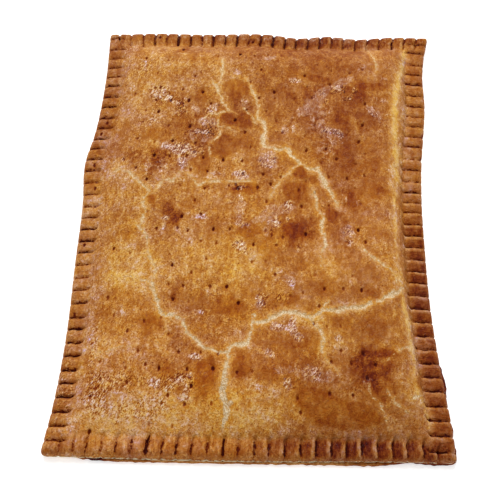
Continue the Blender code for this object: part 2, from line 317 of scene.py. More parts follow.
# Docking holes, pricked by hand with a fork: places (x, y) on the reading level.
dockingHoles = {
    "deep": (
        (-73.7, 173), (-53, 124.7), (-65, 114.7), (-80.7, 114.4), (-90.7, 102), (-23.3, 95.3),
        (-62, 86.7), (-76, 71.3), (37, 147.6), (10, 128), (90, 116.3), (87.3, 93.7), (83.7, 76.3),
        (55.5, 67.2), (38.7, 64.5), (64.3, 57.3), (73, 38.4), (9, 28.7), (-90.5, 55.8), (-31.7, 53),
        (-18, 24), (-62.7, -3.7), (-36.3, -15.7), (-57, -17.3), (-67, -49.6), (-23, -66.7),
        (38.7, -17.3), (81, -12.7), (82.4, -67), (-64, -80.3), (-13.3, -80.3), (-70.3, -136.6),
        (-30, -135.4), (-45.3, -149.7), (82.3, -119.4), (91.3, -128.3), (84.7, -139), (-94.7, 31.3),
        (-21.7, 169.3), (59.3, 137), (-20, 28)),
    "middling": (
        (-8.3, 168.3), (-106.3, 161), (-2.4, 152.7), (-61, 142.7), (-96, 128), (-91, 128.5), (-71, 127),
        (-3.3, 120.7), (-112.7, 120.7), (-93.7, 114.7), (-45.3, 112), (-13.7, 106.7), (-80.7, 87),
        (-14.3, 82), (-106, 72.7), (-56.3, 69.6), (-9, 66), (3.3, 169.6), (60.8, 152.7), (77, 150),
        (88.7, 154.4), (39.3, 134.4), (43.2, 121.3), (28, 120.3), (3.7, 106), (12.3, 95.3), (46, 91.6),
        (18, 82.7), (51.2, 78.3), (51.3, 53), (80.7, 53.3), (87.7, 41.3), (57.6, 38.7), (17.3, 36),
        (2.4, 38), (32.7, 24), (6, 12), (35, 8.7), (57.3, 10.7), (-115.6, 50), (-105, 42.3),
        (-58.7, 42.3), (-44.4, 41.3), (-48.7, 54.7), (-63, 56), (-77.3, 55.3), (-15.6, 51.6),
        (-14.3, 38.3), (-25.3, 26.7), (-1.6, 25.3), (-45.7, 24), (-53, 12), (-47.3, -1.3), (-82.3, -16),
        (-65.3, -15.3), (-23, -15.3), (-33, -28.4), (-16.3, -27.3), (-3.3, -28.4), (-115, -36.7),
        (-51.3, -56), (-36, -67.3), (-68.4, -67.3), (-57, -68), (20, -20.7), (15, -28), (6, -15.3),
        (86.7, -24), (14.7, -54.3), (53.3, -66.7), (68.3, -66.3), (-114.7, -80.3), (-84.7, -99.4),
        (-96.7, -107.7), (-65.3, -109), (-87, -123.7), (-56.7, -123), (-40, -123), (-26.7, -123.7),
        (-80.7, -134), (-49.3, -136.7), (-114.7, -133.3), (-93, -149), (-62, -157.7), (-49.3, -164.3),
        (-12, -138.3), (-22.3, -152.3), (45, -97), (66, -117.7), (58.3, -127.4), (74, -153),
        (57, -152.3), (33.3, -157), (35.6, -167.7), (-118.7, -160.7), (49.3, -82), (73.3, -127.7)),
    "shallow": (
        (-86.7, 159.6), (-41.7, 166), (-94.7, 145), (-77.6, 143.5), (-56, 146.7), (-11.3, 137.3),
        (-36.4, 122), (-101.7, 102.7), (-20, 115.7), (-91.6, 69.3), (70, 165.6), (48.3, 160),
        (19.7, 133.3), (10.7, 120.7), (48.7, 98.7), (26, 95.3), (37.3, 79.3), (70.7, 71.3), (89.3, 64),
        (38.7, 33.3), (79.3, 28.4), (46, 22), (70.7, 12), (83.6, 13.3), (42.7, -2.7), (-84.4, 43),
        (-66.3, 26.7), (-118.7, 16), (-70, 12.4), (-4, 12.7), (-91.3, -0.7), (-29, -1.3),
        (-89.3, -25.7), (-54.7, -28.7), (-45.7, -27), (-71.6, -24), (-101.7, -40.4), (-70, -40),
        (-40.4, -43.6), (-55, -39), (-4, -44), (72.7, -24.4), (75.3, -55), (46, -54), (20.7, -43.3),
        (35, -43), (6.7, -43), (-108.4, -95), (-76, -81.7), (-120.4, -107.7), (-72, -96.3),
        (-95.3, -137.7), (-112.7, -147.3), (-83.3, -164.3), (-66.3, -163.7), (-29.6, -163.4),
        (-57, -180.7), (-74, -180), (-52, -81), (-0.7, -137), (26.7, -73), (36.7, -70.3), (55, -99),
        (65.6, -98.3), (16, -82.3), (-17.3, -164.3), (62.7, -83)),
    # black pits in the rim, drawn dark as painted shade in the pit
    "rim": ((-95.6, 187.3), (-10, 184.7), (-133, 183), (-139, -93), (-136.7, 20.7), (-140, 42),
            (-139, -33), (-134, 86.7), (-138, 75), (139, 89), (136, 66), (-116, -187)),
}
hole = {
    "strength": {"deep": 0.9, "middling": 0.5, "shallow": 0.15, "rim": 0.8},
    "spread": 0.15, "seed": 21,
    # mm, for the weakest and the strongest hole
    "radius": (0.62, 1.08), "depth": (0.6, 2.2),
    # how much longer than wide a hole is, and how far from it the crust changes, in mm
    "stretch": 1.6, "reach": 4.6,
    "dimpleDepth": 0.2, "dimpleRadius": 3.0,
}

# Cracks, where the crust tore as the filling rose and shows pale dough: how far its golden lips
# reach, then (x, y, half width of the pale bed) along it; a bed below 0 leaves only the lips.
cracks = {
    "backFork": (2.6, ((-37, 163, .4), (-37, 158, 1.1), (-37.3, 144, 1.0), (-38, 138, .2),
                       (-38, 131, .0))),
    "backForkLow": (2.2, ((-45, 137, .4), (-43, 132, 1.1), (-38.3, 124, 1.1), (-35.3, 115, .9),
                          (-29.3, 106.5, .8), (-27.5, 103.5, .3))),
    "backForkBack": (1.6, ((-29, 106, .5), (-36, 101, .4), (-43.3, 101.3, .5), (-51, 94.5, .0))),
    "backForkDown": (2.0, ((-38.5, 97, .1), (-38.3, 93, .5), (-36.7, 86.7, .5), (-37.3, 78.7, .7),
                           (-39.3, 72.5, .5), (-43.3, 70, .3))),
    "backThread": (1.2, ((-45.3, 69, .2), (-44, 62, .5), (-43.5, 55, .2))),
    "backLace": (1.0, ((-36, 88, .2), (-28, 85, .3), (-20, 81, .1))),
    "backSpine": (2.4, ((-16, 141, -.3), (-11.3, 134.7, .6), (-8.7, 126, .8), (-5.3, 118.7, .8),
                        (-3.6, 109.3, .7), (-4, 99, .7), (1, 94, 1.3), (2.9, 87, 1.8), (2.4, 79, 1.6),
                        (1.6, 71, 1.8), (5.3, 65.5, 1.4), (10, 66, .9))),
    "backSpur": (1.6, ((-17, 108, .2), (-12.7, 104.7, .7), (-8.7, 98.7, .6), (-5.3, 91, .2))),
    "backRight": (2.2, ((93, 184, .0), (93.3, 177, .2), (97.3, 170.7, .3), (100.7, 164.7, .4),
                        (102, 160, .3), (100, 152, .2), (99.3, 143, -.4))),
    "rightArm": (2.8, ((12, 65, 1.0), (16, 63, 1.5), (21.3, 65, 1.6), (24.7, 59.3, 1.7),
                       (28.7, 54.7, 1.3), (34.7, 50, 1.1), (40, 46.7, 1.3), (44, 44, 1.5),
                       (50, 43.3, 1.2), (52.7, 35.3, 1.9), (56.7, 27.3, 1.7), (60, 20.7, 1.2),
                       (62.7, 14, .8), (65, 8.5, .2))),
    "rightArmKnee": (2.6, ((44, 44, 1.2), (47.3, 47.3, 1.1), (50, 43.3, 1.2))),
    "rightLeg": (2.4, ((43, 30, .2), (45.3, 22, .9), (47.3, 14, .9), (48, 6, .6), (51.3, -1, 1.1),
                       (52, -7.3, 1.2), (52, -14, .8), (54, -22, 1.2), (54, -29.5, .9), (51, -36, -.2),
                       (51.3, -46, .2), (51, -50, -.6))),
    "rightTwig": (2.6, ((32, 50, .5), (26.7, 43.3, .6), (20, 36, .3), (16, 30, .5), (12, 22, .6),
                        (9.3, 14.5, .2))),
    "leftArm": (2.4, ((-124.5, 34, .3), (-121, 38, .5), (-112, 38.5, .5), (-107.3, 34.7, 1.0),
                      (-102, 29.3, .7), (-95.3, 23.3, .9), (-91.3, 20, .5))),
    "leftArmRise": (2.2, ((-88, 19, .4), (-84.7, 24, .6), (-80.7, 29.3, .8), (-77.3, 31.3, .7),
                          (-73.3, 29, .6), (-70, 35.3, .4), (-68, 38.7, .3), (-62, 39, .2),
                          (-58, 36, .1), (-54.7, 31.3, .3), (-50.7, 26.7, .5))),
    "middleArm": (1.8, ((-50, 26.8, .5), (-46.7, 29, .8), (-42, 30.8, .9), (-36.7, 31, .8),
                        (-30, 30, .6), (-24.7, 30, .8), (-19.3, 31.3, .6), (-11.3, 31.3, .6),
                        (-6, 30, .1))),
    "leftLeg": (2.2, ((-91.3, 20, .6), (-92.7, 16.7, .5), (-95.3, 11.3, .9), (-95.4, 6.7, 1.1),
                      (-93.3, 2, .8), (-91.5, -1, .6), (-94, -5, 1.1), (-95, -11.5, 1.0),
                      (-96, -14.5, .5))),
    "leftFoot": (2.0, ((-99, -14.7, .2), (-94, -17.3, .9), (-90.7, -22, .9), (-89, -28, .4),
                       (-88.4, -35.3, .2), (-86, -42.7, .8), (-82.7, -48, 1.0), (-80.7, -54, .7),
                       (-80, -60.7, .2), (-82, -64, .3))),
    "frontLeftRoot": (2.8, ((-117, -61.3, -.3), (-106, -63.3, .1), (-98, -62, .4), (-91, -64.5, .7),
                            (-86, -66, .9))),
    "frontSweep": (2.8, ((-86, -66, .6), (-83, -67, 1.1), (-80, -72, 1.3), (-77.3, -78.3, 1.3),
                         (-76.3, -84.5, 1.3), (-72.7, -90, 1.4), (-69.3, -94, 1.1), (-61.3, -93.3, 1.3),
                         (-58, -97, 1.1), (-54, -101, 1.0), (-50.7, -107, 1.0), (-46, -111, 1.2),
                         (-42, -115.7, 1.5), (-38, -119, 1.3), (-32.7, -120.6, 1.2), (-25, -122.5, 1.1),
                         (-19.5, -122.5, 1.3))),
    "frontRise": (2.6, ((-19.5, -123, 1.2), (-18, -117.5, 1.6), (-13, -116, 1.5), (-4.7, -115.5, 1.5),
                        (-3, -111.5, 1.3), (-2.7, -105, 1.0), (-1.2, -98, 1.2))),
    "frontRiseTip": (2.2, ((-1.2, -98, .8), (-1, -92, .9), (1, -88, .3))),
    "frontWave": (3.6, ((-1.3, -98, 1.2), (2, -97.7, 1.4), (6, -97, 1.3), (11.3, -93.7, 1.7),
                        (16, -90.5, 2.1), (24, -88.3, 1.9), (30.7, -87.7, 1.8), (36, -90, 1.8),
                        (43.3, -92, 1.4), (48, -89.5, 1.3), (51.3, -86, 1.2), (58.7, -85.7, 1.5),
                        (64, -85.4, 1.7), (69.3, -82.5, 1.9), (76, -82.8, 1.6), (80, -83, 2.0),
                        (85.3, -80, 1.9), (89.5, -76.8, 1.3))),
    "frontWaveTip": (2.4, ((50, -87, .5), (52, -82, .7), (56.5, -76.5, .3))),
    "frontRightEnd": (2.6, ((94, -77, .8), (97, -75.5, 1.6), (100, -73.7, 1.5), (105.3, -70.3, 1.7),
                            (110.7, -67, 1.4), (114, -64.5, .6))),
    "rightFlank": (1.9, ((81, -25, .3), (85.3, -30.7, .9), (89.3, -35.3, .9), (94.7, -39.3, .9),
                         (100, -43.3, 1.0), (105.3, -48.7, 1.0), (109.3, -55.3, .8),
                         (110.7, -61.5, .6))),
    "stem": (3.6, ((-19.3, -123, 1.2), (-18.9, -128, 1.3), (-20, -133, 1.8), (-21, -139.7, 2.4),
                   (-20, -147, 2.4), (-21.3, -153, 2.9), (-21.3, -158.3, 2.6), (-18.7, -163, 2.0),
                   (-18, -169, 2.2), (-19.3, -175.7, 1.5), (-20.7, -184, .6))),
    "stemBud": (2.0, ((-19, -162.5, 1.2), (-13.3, -161.7, .5))),
    "frontFaint": (2.6, ((43, -93, .5), (44.5, -98, .8), (48.7, -100.5, .7), (51.3, -105, .9),
                         (52.5, -110.3, .5), (51.3, -117, .6), (53.3, -123.7, .1), (60, -133, .2),
                         (64, -137, -.5))),
    "leftFine": (1.8, ((-127, -126.3, -.3), (-120.7, -125.7, .0), (-110, -125.7, -.2),
                       (-107, -122.3, .0), (-99.3, -121.7, .2), (-91, -121.3, -.1))),
    "leftFineTip": (1.6, ((-73.5, -121, .2), (-71.3, -116.3, -.2))),
    "cornerFine": (1.3, ((85.3, -144, .3), (86.7, -151.7, .1), (92, -157, .4), (95.3, -166.3, .2),
                         (98.7, -176, .0))),
    "cornerFan": (1.0, ((99, -146, .0), (102.7, -155.7, .2), (108, -160.5, .3), (113.5, -164, -.1))),
    "cornerRoot": (1.4, ((96, -127, .1), (102.7, -122.3, .3), (106.7, -118.3, .2), (110.7, -116, .6),
                         (119, -115, .7))),
    "cornerTip": (1.6, ((116, -155.5, .3), (120.5, -153.8, .9), (124, -152, .3))),
}
# mm: how high the lips stand and how deep the bed is, and how jagged cracks are (as in shaken)
crackRelief = {"lip": 0.20, "bed": 0.6, "jagged": ((1.1, 5.0, 51, 53), (0.6, 2.4, 52, 54))}
# The pale band where the dome turns down to the right rim: (x, y, half width) along it.
creases = (
    ((112.8, -66, 1.8), (114.5, -80, 2.8), (116.8, -92, 2.8), (118, -104, 1.8), (118.7, -115, 2.0),
     (119.5, -128, 1.5), (119.5, -140, 1.4), (121, -150, 1.6), (125.3, -158.3, 1.6), (128, -168, 1.2),
     (128.5, -176, .8)),
    ((113, 28, 1.0), (114.3, 36.7, 2.2), (114.6, 50, 2.8), (114.8, 62, 3.0), (114.4, 80, 3.1),
     (115.2, 89, 3.2), (116, 101, 3.2), (116.6, 114.7, 3.2), (117.2, 125.3, 3.0), (119.6, 138.7, 2.6),
     (122, 149.3, 2.8), (124.6, 162.7, 2.6), (127.5, 178, 1.6), (126.5, 186, .6)),
    ((112.5, 30, 1.0), (111, 8, 1.4), (110.5, -5, 1.6), (110.5, -25, 1.4), (112, -45, 1.2),
     (113, -62, 1.6)),
)

# What the oven and the egg wash left, with painted highlights on the film: how soft each kind's edge is,
# as a share of the radius, then leaning ellipses, each (x, y, radius across, radius along, lean in
# degrees, strength).
marks = {
    # dark red brown spots that sat hottest
    "scorched": (0.45, (
        (-86, 54, 6.5, 9, 0, .30), (-91, 62, 3, 4, 0, .08), (-106, 55, 6, 7, 0, .12),
        (-92, 40, 4, 6, 0, .15), (-96, 48, 4, 8, 20, .06), (-75, 4, 5, 6.5, 0, .30),
        (-68, -2, 6, 6, 0, .20), (-69, -10, 6, 4, 0, .16), (-46, 25, 2.5, 3, 0, .14),
        (-19, 25, 4, 3, 0, .14), (33, -16, 13, 13, 0, .14), (43, -22, 3, 6, 0, .05),
        (82, -119, 5, 5, 0, .08), (84, -125, 9, 7, 0, .10), (76, -129, 5, 6, 0, .04),
        (99, -120, 9, 3.5, 0, .10), (86, -140, 6, 6, 0, .09), (92, -146, 4, 5, -20, .04),
        (94, -132, 7, 7, 0, .06), (72, 85, 5, 4, 0, .10), (-71, 112, 5, 13, 0, .11),
        (-29, -79, 3, 4, 0, .12), (-64, -80, 2.5, 4, 0, .10), (75, 21, 6, 14, 0, .08),
        (102, 28, 6, 4, 0, .07), (61, 0, 5, 7, 0, .07), (-4, -90, 3, 4, 0, .06),
        (33, -117, 4, 3, 0, .06), (90, -70, 5, 5, 0, .08), (90, -130, 17, 15, 0, .09))),
    # clear thick glaze over brown crust, with definite edges
    "amber": (0.30, (
        (-24, 128, 11, 11, 0, 1), (-29, 95, 8, 6, 0, 1), (-15, 94, 7, 8, 0, 1),
        (-28, 69, 12, 10, 0, 1.1), (-12, 72, 5, 9, 0, .7), (-36, 60, 10, 6, 0, .7),
        (-54, 117, 5, 13, 0, .6), (-56, 97, 4, 4, 0, .8), (-74, 172, 6, 4, 0, .8),
        (-66, 163, 5, 8, 0, .5), (-90, 78, 14, 8, 0, .5), (-45, 60, 6, 12, 0, .6),
        (-50, 48, 9, 9, 0, .7), (-8, 24, 9, 6, 0, 1), (-18, 22, 6, 4, 0, .8), (-7, -15, 10, 7, 0, 1),
        (-35, -19, 18, 8, 0, .35), (-57, 10, 7, 6, 0, .5), (-90, 12, 4, 5, 0, .7),
        (-101, -24, 8, 8, 0, .4), (33, 41, 7, 7, 30, 1), (46, 35, 4, 4, 0, 1), (30, 22, 10, 9, 0, .9),
        (27, -14, 10, 9, 0, .7), (8, -30, 8, 16, 0, .5), (60, 0, 5, 7, 0, .8), (90, 26, 10, 12, 0, .5),
        (78, 15, 6, 14, 0, .6), (95, 52, 7, 8, 0, .5), (95, 134, 14, 5, 0, 1), (85, 123, 6, 6, 0, 1),
        (70, 100, 8, 14, 0, .6), (74, 130, 5, 5, 0, .8), (47, 143, 13, 5, 0, .7),
        (15, 125, 14, 10, 0, .4), (72, 60, 8, 20, 0, .4), (-22, -84, 14, 9, 0, .7),
        (-35, -140, 8, 15, 0, 1), (-8, -131, 8, 12, 0, .9), (-80, -101, 10, 10, 0, .7),
        (-62, -139, 6, 5, 0, .6), (-84, -112, 6, 7, 0, .5), (-48, -77, 8, 8, 0, .5),
        (-60, -76, 5, 8, 0, .5), (22, -77, 12, 5, 0, .7), (30, -70, 8, 5, 0, .5),
        (55, -65, 14, 8, 0, .5), (90, -72, 6, 6, 0, .6), (30, -112, 14, 8, 0, .6),
        (65, -95, 8, 7, 0, .5), (92, -100, 12, 13, 0, .5), (12, -140, 10, 6, 0, .4),
        (65, -168, 26, 11, 0, .9), (45, -157, 14, 9, 0, .8), (85, -172, 14, 7, 0, .3),
        (101, -119, 12, 4, 0, .6))),
    # crust that browned more over a wide reach
    "browned": (0.95, (
        (55, 122, 62, 72, 0, .105), (72, 62, 26, 30, 0, .04), (-54, 88, 24, 20, 0, .12),
        (-18, 106, 14, 10, 0, .08), (12, 175, 60, 16, 0, .05), (-95, 188, 16, 8, 0, .06),
        (92, -132, 24, 16, 0, .09), (58, -12, 14, 12, 0, .07), (40, -135, 26, 14, 0, .03),
        (55, -90, 30, 8, 0, .03), (-45, -112, 24, 12, 0, .03), (8, 45, 12, 10, 0, .05),
        (-28, 190, 30, 8, 0, .06), (70, 192, 40, 8, 0, .05), (-70, 5, 10, 12, 0, .04),
        (-50, 74, 14, 10, 0, .08), (-73, 50, 9, 8, 0, .08), (-50, 88, 10, 8, 0, .05),
        (8, -86, 12, 7, 0, .07), (-50, -88, 10, 6, 0, .06), (110, -72, 8, 12, 0, .06),
        (60, -125, 9, 9, 0, .03), (-118, -163, 8, 14, 0, .06), (-14, -36, 9, 8, 0, .05),
        (-120, 155, 8, 12, 0, .05), (45, 92, 12, 8, 0, .03), (-20, 108, 12, 8, 0, .04),
        (60, -10, 14, 8, 0, .04), (35, -135, 16, 8, 0, .04), (60, -188, 40, 6, 0, .05),
        (-66, -73, 8, 7, 0, .04), (-15, 5, 5, 8, 0, .04), (65, 15, 8, 10, 0, .04),
        (-130, 60, 8, 50, 0, .03), (-112, 60, 11, 16, 0, .07), (10, 50, 8, 7, 0, .07),
        (-110, 92, 9, 9, 0, .04), (-110, 12, 8, 8, 0, .04), (108, -8, 7, 14, 0, .06),
        (108, -68, 9, 12, 0, .06), (-28, -48, 8, 8, 0, .05), (50, -52, 8, 8, 0, .05),
        (-118, -98, 14, 18, 0, .05), (-70, -90, 10, 8, 0, .05), (-30, -88, 12, 8, 0, .05),
        (10, -90, 10, 8, 0, .04), (52, -142, 10, 14, 0, .05), (74, -150, 10, 8, 0, .04),
        (112, -168, 8, 8, 0, .03), (88, -88, 12, 8, 0, .04), (-50, -110, 9, 8, 0, .05),
        (-30, -128, 8, 6, 0, .05), (110, 168, 9, 9, 0, .05), (-110, 150, 9, 10, 0, .05),
        (0, -10, 45, 50, 0, .014), (0, 120, 45, 55, 0, .016), (-132, 172, 8, 12, 0, .05),
        (-132, 95, 7, 14, 0, .04), (-130, 55, 7, 14, 0, .04), (-50, -92, 10, 7, 0, .04),
        (130, -68, 6, 10, 0, .04), (20, -98, 10, 5, 0, .04), (2, 158, 9, 8, 0, .05),
        (86, -145, 9, 6, 0, .07), (100, -155, 14, 14, 0, .03))),
    # dough that took little glaze and stayed pale
    "pale": (0.95, (
        (-12, -52, 20, 26, 0, .17), (-36, -30, 22, 14, 0, .12), (-130, -30, 16, 70, 0, .05),
        (-75, -174, 60, 20, 0, .07), (-22, 56, 13, 12, 0, .07), (-12, 14, 14, 12, 0, .05),
        (-22, -162, 18, 24, 0, .05), (116, 60, 9, 70, 0, .07), (112, 45, 8, 26, 0, .06),
        (72, -52, 30, 14, 0, .05), (4, -34, 14, 16, 0, .05), (-95, -104, 18, 34, 0, .06),
        (-130, 20, 14, 20, 0, .05), (-128, -150, 16, 40, 0, .05), (-28, 132, 9, 8, 0, .05),
        (-110, -185, 30, 14, 0, .06), (120, 110, 9, 30, 0, .06), (128, -100, 10, 20, 0, .04),
        (15, -165, 16, 12, 0, .04), (30, -74, 12, 6, 0, .04), (-112, 150, 16, 34, 0, .05),
        (-105, 118, 14, 16, 0, .05), (-48, 163, 16, 10, 0, .06), (-85, 158, 16, 12, 0, .05),
        (-28, 145, 14, 7, 0, .06), (-78, 98, 16, 10, 0, .03), (-95, -48, 18, 16, 0, .13),
        (-115, 30, 12, 20, 0, .04), (-98, -62, 16, 7, 0, .08), (-45, -50, 22, 12, 0, .05),
        (-62, -30, 16, 9, 0, .03), (-40, 15, 16, 10, 0, .06), (-70, 20, 12, 7, 0, .05),
        (-78, -168, 26, 13, 0, .12), (-108, -174, 16, 10, 0, .08), (-56, -174, 13, 11, 0, .10),
        (-8, -172, 14, 14, 0, .09), (-60, -95, 12, 5, 0, .05), (-118, -118, 10, 10, 0, .04),
        (52, -40, 14, 16, 0, .10), (66, -55, 12, 10, 0, .06), (95, -10, 16, 24, 0, .06),
        (104, -30, 10, 30, 0, .06), (28, -90, 30, 7, 0, .07), (50, -105, 8, 18, 0, .09),
        (44, -96, 12, 6, 0, .07), (60, -112, 10, 12, 0, .08), (113, -150, 8, 26, 0, .11),
        (70, -106, 10, 7, 0, .05), (18, 58, 16, 14, 0, .05), (20, 85, 16, 12, 0, .05),
        (30, 75, 12, 7, 0, .04), (5, -165, 16, 16, 0, .10), (20, -160, 12, 10, 0, .05),
        (120, 165, 9, 24, 0, .04), (98, 172, 12, 14, 0, .06), (105, 165, 9, 16, 0, .05),
        (108, -90, 8, 20, 0, .05), (126, 95, 3, 75, 0, .06), (125, 20, 3, 20, 0, .05),
        (31, 142, 10, 12, 0, .08), (13, 110, 11, 12, 0, .07), (-26, 133, 9, 8, 0, .09),
        (-60, 118, 8, 8, 0, .05), (-95, 78, 12, 8, 0, .05), (38, 68, 12, 9, 0, .06),
        (-18, 60, 12, 9, 0, .06), (88, 74, 10, 10, 0, .06), (88, 30, 10, 10, 0, .05),
        (109, 48, 7, 10, 0, .06), (24, 26, 10, 9, 0, .06), (24, -32, 8, 8, 0, .05),
        (-95, -180, 16, 9, 0, .07), (-122, -186, 10, 7, 0, .05), (-70, -110, 10, 12, 0, .06),
        (40, -164, 12, 8, 0, .05), (74, -164, 14, 8, 0, .06), (125, 108, 6, 14, 0, .06),
        (-48, -52, 10, 8, 0, .05), (68, -38, 12, 10, 0, .04), (-92, -55, 24, 16, 0, .03),
        (-35, 35, 25, 7, 0, .04), (60, -110, 10, 8, 0, .03), (-10, -178, 30, 8, 0, .04),
        (-90, 132, 10, 9, 0, .05), (70, 92, 9, 8, 0, .05), (90, 82, 8, 10, 0, .05),
        (-88, 68, 8, 8, 0, .05), (-20, 52, 10, 8, 0, .05), (-30, 10, 10, 8, 0, .05),
        (-130, 12, 7, 9, 0, .05), (110, 50, 6, 8, 0, .05), (-90, -170, 10, 9, 0, .06),
        (-50, -172, 10, 8, 0, .04), (-88, -190, 12, 6, 0, .05), (-30, -188, 10, 6, 0, .05),
        (68, -128, 7, 9, 0, .08), (20, -22, 8, 8, 0, .04), (-4, 14, 6, 8, 0, .05),
        (-20, 92, 6, 6, 0, .06), (40, 62, 9, 8, 0, .06), (132, 108, 5, 9, 0, .05),
        (30, -78, 10, 6, 0, .05), (70, -104, 8, 10, 0, .05), (38, 145, 8, 7, 0, .05),
        (-18, -85, 5, 5, 0, .05), (112, 47, 5, 7, 0, .04))),
    # where the crust is duller, or below 0 a clearer orange
    "dull": (0.95, (
        (-12, -50, 26, 45, 0, -.7), (-28, -158, 22, 26, 0, -.35), (-90, -60, 40, 40, 0, -.35),
        (-78, -155, 50, 38, 0, -.40), (0, -15, 34, 40, 0, -.22), (5, -140, 34, 40, 0, -.22),
        (-128, -30, 10, 60, 0, .1), (-132, -92, 8, 12, 0, .4), (-132, 65, 10, 40, 0, .3),
        (130, -60, 9, 50, 0, .5), (131, -130, 9, 16, 0, .5), (134, 82, 7, 20, 0, .4),
        (92, 133, 12, 8, 0, -.5), (36, 33, 12, 10, 0, -.5), (22, -13, 11, 9, 0, -.6),
        (-14, -85, 12, 12, 0, -.35), (60, -50, 12, 10, 0, -.35), (-125, 165, 14, 30, 0, .3),
        (124, 95, 3, 80, 0, .5), (112, -10, 8, 60, 0, .25), (68, -12, 12, 10, 0, .4),
        (88, -62, 10, 10, 0, .4), (28, 55, 16, 26, 0, -.45), (50, -48, 14, 12, 0, -.4),
        (46, -98, 14, 22, 0, -.7), (18, -14, 16, 12, 0, -.5), (-12, 20, 14, 16, 0, -.5),
        (10, -160, 20, 20, 0, -.15), (-135, 110, 22, 80, 0, .35), (10, 182, 110, 16, 0, .45),
        (85, 140, 40, 45, 0, .35), (68, 60, 16, 24, 0, .35), (-45, 72, 12, 10, 0, .5),
        (-90, 33, 12, 8, 0, .4), (140, -110, 14, 90, 0, .9), (90, -192, 60, 12, 0, 1.1),
        (-135, -150, 12, 40, 0, .5), (-75, -192, 50, 10, 0, .3), (-142, 0, 12, 170, 0, .2),
        (142, 90, 12, 80, 0, .35), (-130, -80, 12, 14, 0, .4), (76, -138, 16, 10, 0, .3),
        (-24, -166, 16, 18, 0, -.6), (-72, -152, 12, 12, 0, -.3), (-70, -110, 10, 12, 0, -.35),
        (-20, -92, 28, 12, 0, -.35), (-131, -72, 6, 16, 0, -.4), (-90, -8, 9, 9, 0, -.4),
        (-70, -30, 10, 10, 0, .6), (-25, -30, 18, 10, 0, -.3), (-90, 30, 10, 9, 0, .5),
        (-115, 74, 14, 20, 0, .4), (-115, 120, 12, 18, 0, .3), (-32, 34, 12, 9, 0, .35),
        (82, 150, 14, 9, 0, .35), (118, 122, 10, 14, 0, -.6), (95, 24, 14, 14, 0, -.4),
        (82, -10, 12, 9, 0, .3), (88, -118, 22, 18, 0, -.25), (-72, 8, 9, 8, 0, .35),
        (20, 187, 26, 8, 0, -.4), (-10, 120, 8, 16, 0, -.3))),
    # where the crust is redder, or below 0 less red
    "rosy": (0.95, (
        (-82, -145, 55, 50, 0, 1.1), (-75, -194, 75, 12, 0, 1.4), (5, -140, 40, 45, 0, .65),
        (72, -15, 45, 45, 0, .6), (0, -20, 40, 40, 0, .2), (-95, 5, 30, 50, 0, -.3),
        (-80, 130, 50, 50, 0, -.65), (0, 120, 40, 50, 0, -.4), (75, 130, 40, 50, 0, -.2),
        (0, 192, 140, 12, 0, -.7), (-135, -60, 12, 130, 0, .4), (133, -110, 12, 70, 0, .5))),
    # egg wash dried to a dull pinkish film; its lighter pinkish colour is partly a painted sheen
    "film": (0.50, (
        (-70, 63, 11, 5, 0, .9), (-66, 49, 5, 6, 0, .9), (-82, 66, 4, 4, 0, 1),
        (-58, 55, 3, 8, -20, .7), (-16, 38, 7, 5, 0, .9), (-40, 37, 14, 3, 0, .5),
        (-14, -11, 7, 3, 0, .9), (-15, 3, 5, 12, 0, .7), (-76, -6, 3, 3, 0, 1), (-76, -15, 2, 3, 0, 1),
        (-65, -16, 3, 4, 0, .8), (-46, -4, 7, 3, 0, .8), (-14, -30, 5, 5, 0, .7),
        (-95, 45, 5, 10, 0, .5), (-84, 44, 5, 7, 0, .5), (-46, 92, 9, 5, 0, .8),
        (-52, 82, 9, 2.5, 0, .9), (-42, 106, 4, 5, -30, .9), (-58, 104, 2.5, 7, 20, .6),
        (-47, 75, 7, 4, 0, .5), (-60, 76, 3, 3, 0, .8), (-18, 113, 6, 5, 0, .5),
        (-24, 147, 5, 3, 0, .8), (-22, 139, 2, 2, 0, .7), (-90, 121, 9, 5, -35, .8),
        (-81, 115, 3, 4, 0, 1), (-75, 112, 4, 4, 0, .6), (-108, 155, 8, 6, 0, .35),
        (6, 166, 5, 3, 30, .8), (28, 142, 5, 2.5, -15, 1), (74, 141, 7, 3.5, 35, .9),
        (66, 135, 5, 4, 30, .7), (53, 128, 8, 4, 48, 1), (45, 117, 10, 7, 45, .8),
        (36, 106, 8, 5, 50, .9), (48, 100, 12, 14, 0, .5), (60, 86, 7, 4, 0, 1), (67, 83, 3, 3, 0, 1),
        (98, 107, 9, 4, -35, .8), (108, 144, 3, 2, 0, .7), (88, 156, 5, 6, 0, .5),
        (103, 122, 5, 3, 0, .5), (55, 72, 14, 14, 0, .4), (20, 84, 3, 6, 0, .6), (26, 86, 2, 5, 0, .8),
        (7, 52, 8, 8, 0, .8), (12, 3, 10, 5, 22, 1.2), (2, -3, 8, 3, 40, 1), (22, 6, 8, 3, 20, .9),
        (12, -8, 5, 5, 0, .8), (6, -16, 3, 4, 0, .7), (72, -15, 6, 5, 0, .9), (70, -24, 6, 5, 0, .5),
        (28, -62, 4, 5, 0, 1), (20, -56, 12, 8, 0, .4), (82, 13, 2, 3, 0, .7), (68, 18, 5, 6, 0, .4),
        (-118, -148, 7, 12, 0, .42), (-110, -162, 9, 5, 40, .40), (-73, -147, 5, 4, 0, .9),
        (-66, -152, 6, 4, 0, .4), (-56, -145, 5, 4, 0, .7), (-47, -141, 3, 3, 0, .9),
        (-44, -126, 4, 2.5, 0, .9), (-41, -89, 2.5, 3, 0, 1), (-50, -158, 4, 6, 0, .7),
        (-97, -158, 6, 4, 0, .4), (-126, -116, 1.5, 4, 0, .8), (-98, -90, 8, 5, 0, .4),
        (17, -101, 7, 3.5, -10, .9), (28, -98, 4, 7, 0, 1), (33, -107, 4, 5, 40, .9),
        (65, -109, 4, 3, 20, 1), (12, -122, 3, 3.5, 0, .9), (10, -117, 4, 3, 0, .5),
